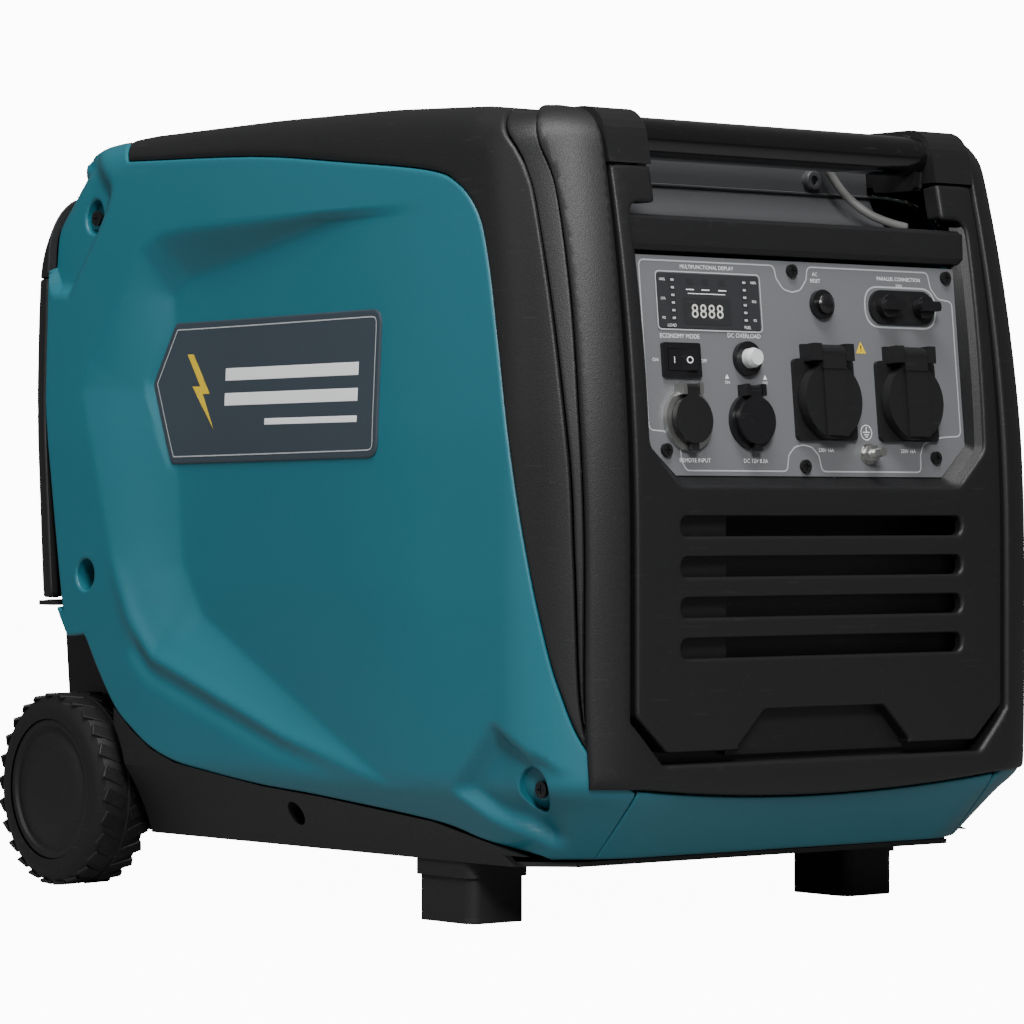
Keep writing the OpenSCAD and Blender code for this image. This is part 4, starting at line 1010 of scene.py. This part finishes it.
fill("inkLight", [(46.7, -38.1), (47.3, -38.1), (47.3, -35.2), (46.7, -35.2)])

# the display's face
face = {"lift": 0.75, "digits": (-79, 32.6)}
fill("inkDark", rounded([(-98, 25), (-60, 25), (-60, 41), (-98, 41)], 1.2, 4), face["lift"])
words("digitGlow", "8888", face["digits"][0], face["digits"][1], 12.0, face["lift"] + 0.12, 1.12)
for x, name in ((-106, "left"), (-48, "right")):
    for k in range(6):
        v = 51.5 - 4.6 * k
        fill("inkDark", rounded([(x - 2.4, v - 1.5), (x + 2.4, v - 1.5), (x + 2.4, v + 1.5), (x - 2.4,
            v + 1.5)], 0.6, 3), face["lift"])
        fill("inkSilver", rounded([(x - 1.3, v - 0.7), (x + 1.3, v - 0.7), (x + 1.3, v + 0.7), (x - 1.3,
            v + 0.7)], 0.3, 3), face["lift"] + 0.08)
for x in (-92, -79.5, -66):
    fill("inkDark", rounded([(x - 2.6, 49), (x + 2.6, 49), (x + 2.6, 52.6), (x - 2.6, 52.6)], 0.6, 3),
        face["lift"])
    fill("inkLight", [(x - 3.2, 45.6), (x + 3.2, 45.6), (x + 3.2, 46.3), (x - 3.2, 46.3)], face["lift"])
for x in (-114, -40.5):
    for v, text in ((51.5, "100%"), (40, "50%"), (28.5, "0%")):
        words("inkLight", text, x, v, 2.3, face["lift"] + 0.05)
words("inkLight", "LOAD", -108, 24, 2.6, face["lift"] + 0.05)
words("inkLight", "FUEL", -47, 24, 2.6, face["lift"] + 0.05)
line("inkLight", [(-94, 43.6), (-64, 43.6)], 0.5, lift=face["lift"])
inks = {"inkSilver": inkSilver, "inkLight": inkLight, "inkDark": inkDark, "inkYellow": inkYellow,
    "digitGlow": digitGlow}
for ink, (verts, faces) in printed.items():
    meshObject("print." + ink, verts, faces, inks[ink], smooth=False)

# signs on the rocker, which move with it
rockTilt = math.radians(8)


def onRocker(a, b, w):
    # A point on the rocker's sloping face: along it, across it and out of it
    c, s = math.cos(rockTilt), math.sin(rockTilt)
    return onPanel(-103 + a * c - w * s, 3 + b, -3 + a * s + w * c)


bar = [(-6.0, -1.9), (-5.4, -1.9), (-5.4, 1.9), (-6.0, 1.9)]
slope = lambda a: 5.6 + abs(a) * 1.6 / 10.4 + 0.12
meshObject("rockerMark.on", [onRocker(a, b, slope(a)) for a, b in bar], [(0, 1, 2, 3)], inkLight, "rocker",
    smooth=False)
ring = circle((5.4, 0), 2.1, 28) + circle((5.4, 0), 1.5, 28)
meshObject("rockerMark.off", [onRocker(a, b, slope(a)) for a, b in ring],
    [(i, (i + 1) % 28, 28 + (i + 1) % 28, 28 + i) for i in range(28)], inkLight, "rocker", smooth=False)
print("printing")

# wheels
wheel = {"y": 226, "z": 64.4, "outer": 215, "width": 41, "tip": 64.2, "root": 63.3, "rim": 47.0, "lugs": 26,
    "lug": (17, 9.2, 10.4)}


def lugTree():
    tree = bpy.data.node_groups.new("treadLugs", "GeometryNodeTree")
    tree.is_modifier = True
    face = tree.interface
    face.new_socket("Geometry", in_out="INPUT", socket_type="NodeSocketGeometry")
    socks = {}
    for label, kind, value in (("Count", "NodeSocketInt", 26), ("Radius", "NodeSocketFloat", 0.06),
        ("Height", "NodeSocketFloat", 0.004),
                               ("Lug Width", "NodeSocketFloat", 0.014), ("Lug Length", "NodeSocketFloat",
                                   0.008), ("Side Offset", "NodeSocketFloat", 0.011),
                               ("Lean", "NodeSocketFloat", 0.3), ("Centre", "NodeSocketVector", (0, 0,
                                   0)), ("Rubber", "NodeSocketMaterial", None)):
        sock = face.new_socket(label, in_out="INPUT", socket_type=kind)
        if value is not None:
            sock.default_value = value
        socks[label] = sock.identifier
    face.new_socket("Geometry", in_out="OUTPUT", socket_type="NodeSocketGeometry")
    gin, gout = tree.nodes.new("NodeGroupInput"), tree.nodes.new("NodeGroupOutput")
    points = addNode(tree, "GeometryNodePoints", ins={"Count": gin.outputs["Count"]})
    index = addNode(tree, "GeometryNodeInputIndex")
    join = addNode(tree, "GeometryNodeJoinGeometry")
    for side in (-1, 1):
        size = addNode(tree, "CombineXYZ", ins={0: gin.outputs["Lug Width"],
            1: gin.outputs["Lug Length"], 2: gin.outputs["Height"]})
        cube = addNode(tree, "GeometryNodeMeshCube", ins={"Size": size})
        shift = calc(tree, "MULTIPLY", gin.outputs["Side Offset"], float(side))
        turn = calc(tree, "MULTIPLY", gin.outputs["Lean"], float(side))
        at = addNode(tree, "CombineXYZ", ins={0: shift, 2: gin.outputs["Radius"]})
        spin = addNode(tree, "CombineXYZ", ins={2: turn})
        lug = addNode(tree, "GeometryNodeTransform", ins={"Geometry": cube.outputs["Mesh"],
            "Translation": at, "Rotation": spin})
        phase = calc(tree, "ADD", index, 0.25 * side)
        share = calc(tree, "DIVIDE", phase, gin.outputs["Count"])
        angle = calc(tree, "MULTIPLY", share, 2 * math.pi)
        rot = addNode(tree, "CombineXYZ", ins={0: angle})
        inst = addNode(tree, "GeometryNodeInstanceOnPoints", ins={"Points": points,
            "Instance": lug, "Rotation": rot})
        tree.links.new(inst.outputs[0], join.inputs[0])
    move = addNode(tree, "GeometryNodeTransform", ins={"Geometry": join,
        "Translation": gin.outputs["Centre"]})
    real = addNode(tree, "GeometryNodeRealizeInstances", ins={"Geometry": move})
    paint = addNode(tree, "GeometryNodeSetMaterial", ins={"Geometry": real,
        "Material": gin.outputs["Rubber"]})
    tree.links.new(paint.outputs[0], gout.inputs[0])
    return tree, socks


lugs, lugSockets = lugTree()


def grow(name, tree, sockets, values, bodyName, bevel=0.0):
    # Runs a node tree on an empty mesh and keeps the plain result
    host = bpy.data.objects.new(name + "Host", bpy.data.meshes.new(name + "Host"))
    bpy.context.collection.objects.link(host)
    mod = host.modifiers.new("grow", "NODES")
    mod.node_group = tree
    for label, value in values.items():
        mod[sockets[label]] = value
    if bevel:
        b = host.modifiers.new("edge", "BEVEL")
        b.width, b.segments = bevel * mm, 2
    host.update_tag()
    bpy.context.view_layer.update()
    mesh = bpy.data.meshes.new_from_object(host.evaluated_get(bpy.context.evaluated_depsgraph_get()))
    bpy.data.objects.remove(host)
    mesh.name = name
    obj = bpy.data.objects.new(name, mesh)
    bpy.context.collection.objects.link(obj)
    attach(obj, bodyName)
    return obj


half = wheel["width"] / 2
tyreLine = [(-half, wheel["rim"]), (-half, wheel["root"] - 11), (-half + 1.0, wheel["root"] - 6),
    (-half + 4, wheel["root"] - 1.2), (-half + 8, wheel["root"]),
            (-1.2, wheel["root"] + 0.6), (0, wheel["root"] - 0.8), (1.2, wheel["root"] + 0.6),
            (half - 8, wheel["root"]), (half - 4, wheel["root"] - 1.2), (half - 1.0,
                wheel["root"] - 6), (half, wheel["root"] - 11), (half, wheel["rim"])]
hubLine = [(half - 1.2, wheel["rim"] - 0.2), (half - 0.6, wheel["rim"] - 1.4), (half - 0.8,
    wheel["rim"] - 4.5), (half - 2.4, wheel["rim"] - 6), (half - 2.6, wheel["rim"] - 9),
           (half - 1.6, wheel["rim"] - 10.5), (half - 1.2, 20), (half - 1.0, 9), (half - 1.0, 0)]
for s, side in sides:
    centre = (s * (wheel["outer"] - half), wheel["y"], wheel["z"])
    lathe("tyre." + side, tyreLine, centre, (s, 0, 0), mats["tyre_rubber"], side + "_wheel", 120,
        replaces=[side + "_tyre"], slot="tyre_rubber")
    lathe("hub." + side, hubLine, centre, (s, 0, 0), black, side + "_wheel", 96,
        replaces=[side + "_wheel_hub"], slot="black_plastic")
    tall = wheel["tip"] - wheel["root"] + 1.5
    grow("tread." + side, lugs, lugSockets, {
        "Count": wheel["lugs"], "Radius": (wheel["tip"] - tall / 2) * mm, "Height": tall * mm,
        "Lug Width": wheel["lug"][0] * mm, "Lug Length": wheel["lug"][1] * mm,
        "Side Offset": wheel["lug"][2] * mm, "Lean": 0.42, "Centre": tuple(c * mm for c in centre),
        "Rubber": mats["tyre_rubber"]}, side + "_wheel", 0.8)
print("wheels")

# finish of the CAD nodes that stay in view
for part in frame["record"]["subparts"]:
    node = nodes[part["node"]]
    node.data.materials.clear()
    node.data.materials.append(mats[part["material_slot"]])
nodes["remote_inlet_flap"].data.materials[0] = black
softEdges = {
    0.25: ["case_screws"],
    0.5: ["economy_switch_frame", "economy_rocker", "remote_inlet", "dc_socket", "ac_reset_button"],
    0.6: ["parallel_terminals", "engine_knob", "cap_vent_knob"],
    0.7: ["parallel_cap_left", "parallel_cap_right", "ac_sockets"],
    0.8: ["remote_inlet_flap", "dc_socket_flap", "recoil_bezel", "exhaust_guard", "dc_breaker_button",
         "fuel_cap"],
    1.3: ["socket_lid_left", "socket_lid_right"],
    1.5: ["recoil_grip"],
    1.8: ["handle_ends"],
    2.0: ["front_feet"],
}
for width, names in softEdges.items():
    for name in names:
        obj = nodes[name]
        obj.data.shade_smooth()
        b = obj.modifiers.new("edge", "BEVEL")
        b.width, b.segments, b.limit_method, b.angle_limit = width * mm, 3, "ANGLE", math.radians(38)
        b.harden_normals = True
print("edges")

studio = {"seen": 12.0, "fill": 0.15, "floor": 11.6}
floorMat = surface("floor", (0.28, 0.28, 0.28), 0.8, grain=60, depth=0.01, waves=0.0, dust=0.0, scuffs=0.0,
    vary=0.01, specular=0.1,
                   glow=(1, 1, 1, 1))
floorTree = floorMat.node_tree
floorPath = addNode(floorTree, "LightPath")
floorGlow = calc(floorTree, "MULTIPLY", floorPath.outputs["Is Camera Ray"], studio["floor"])
floorTree.links.new(floorGlow, floorTree.nodes["Principled BSDF"].inputs["Emission Strength"])
bpy.ops.mesh.primitive_plane_add(size=40, location=(0, 6, -0.0005))
floor = bpy.context.object
floor.name = "floor"
floor.data.materials.append(floorMat)

world = bpy.data.worlds.new("studio")
bpy.context.scene.world = world
world.use_nodes = True
sky = world.node_tree
back = sky.nodes["Background"]
back.inputs["Color"].default_value = (1, 1, 1, 1)
path = addNode(sky, "LightPath")
level = addNode(sky, "MapRange", ins={"Value": path.outputs["Is Camera Ray"],
    "To Min": studio["fill"], "To Max": studio["seen"]})
sky.links.new(level.outputs[0], back.inputs["Strength"])


def areaLight(name, place, aim, size, power):
    data = bpy.data.lights.new(name, "AREA")
    data.shape = "RECTANGLE"
    data.size, data.size_y = size
    data.energy = power
    obj = bpy.data.objects.new(name, data)
    bpy.context.collection.objects.link(obj)
    obj.location = place
    obj.rotation_euler = (Vector(aim) - Vector(place)).to_track_quat("-Z", "Y").to_euler()
    return obj


lamps = {
    "keyTop": ((-0.7, -0.8, 2.3), 0.3, (1.5, 0.6), 62),
    "frontLeft": ((-1.4, -2.3, 1.7), 0.25, (0.7, 0.7), 72),
    "sideSoft": ((-2.6, 0.6, 1.2), 0.25, (0.9, 0.9), 9),
}
for name, (place, height, size, power) in lamps.items():
    areaLight(name, place, (0, 0, height), size, power)

shot = {"turn": -39.4, "away": 2.95, "height": 0.2496, "lens": 157.1, "sensor": 36}
camData = bpy.data.cameras.new("camera")
cam = bpy.data.objects.new("camera", camData)
bpy.context.collection.objects.link(cam)
az = math.radians(shot["turn"])
cam.location = (math.sin(az) * shot["away"], -math.cos(az) * shot["away"], shot["height"])
cam.rotation_euler = (math.pi / 2, 0, az)
camData.lens = shot["lens"]
camData.sensor_width = shot["sensor"]
bpy.context.scene.camera = cam
print("light and camera")
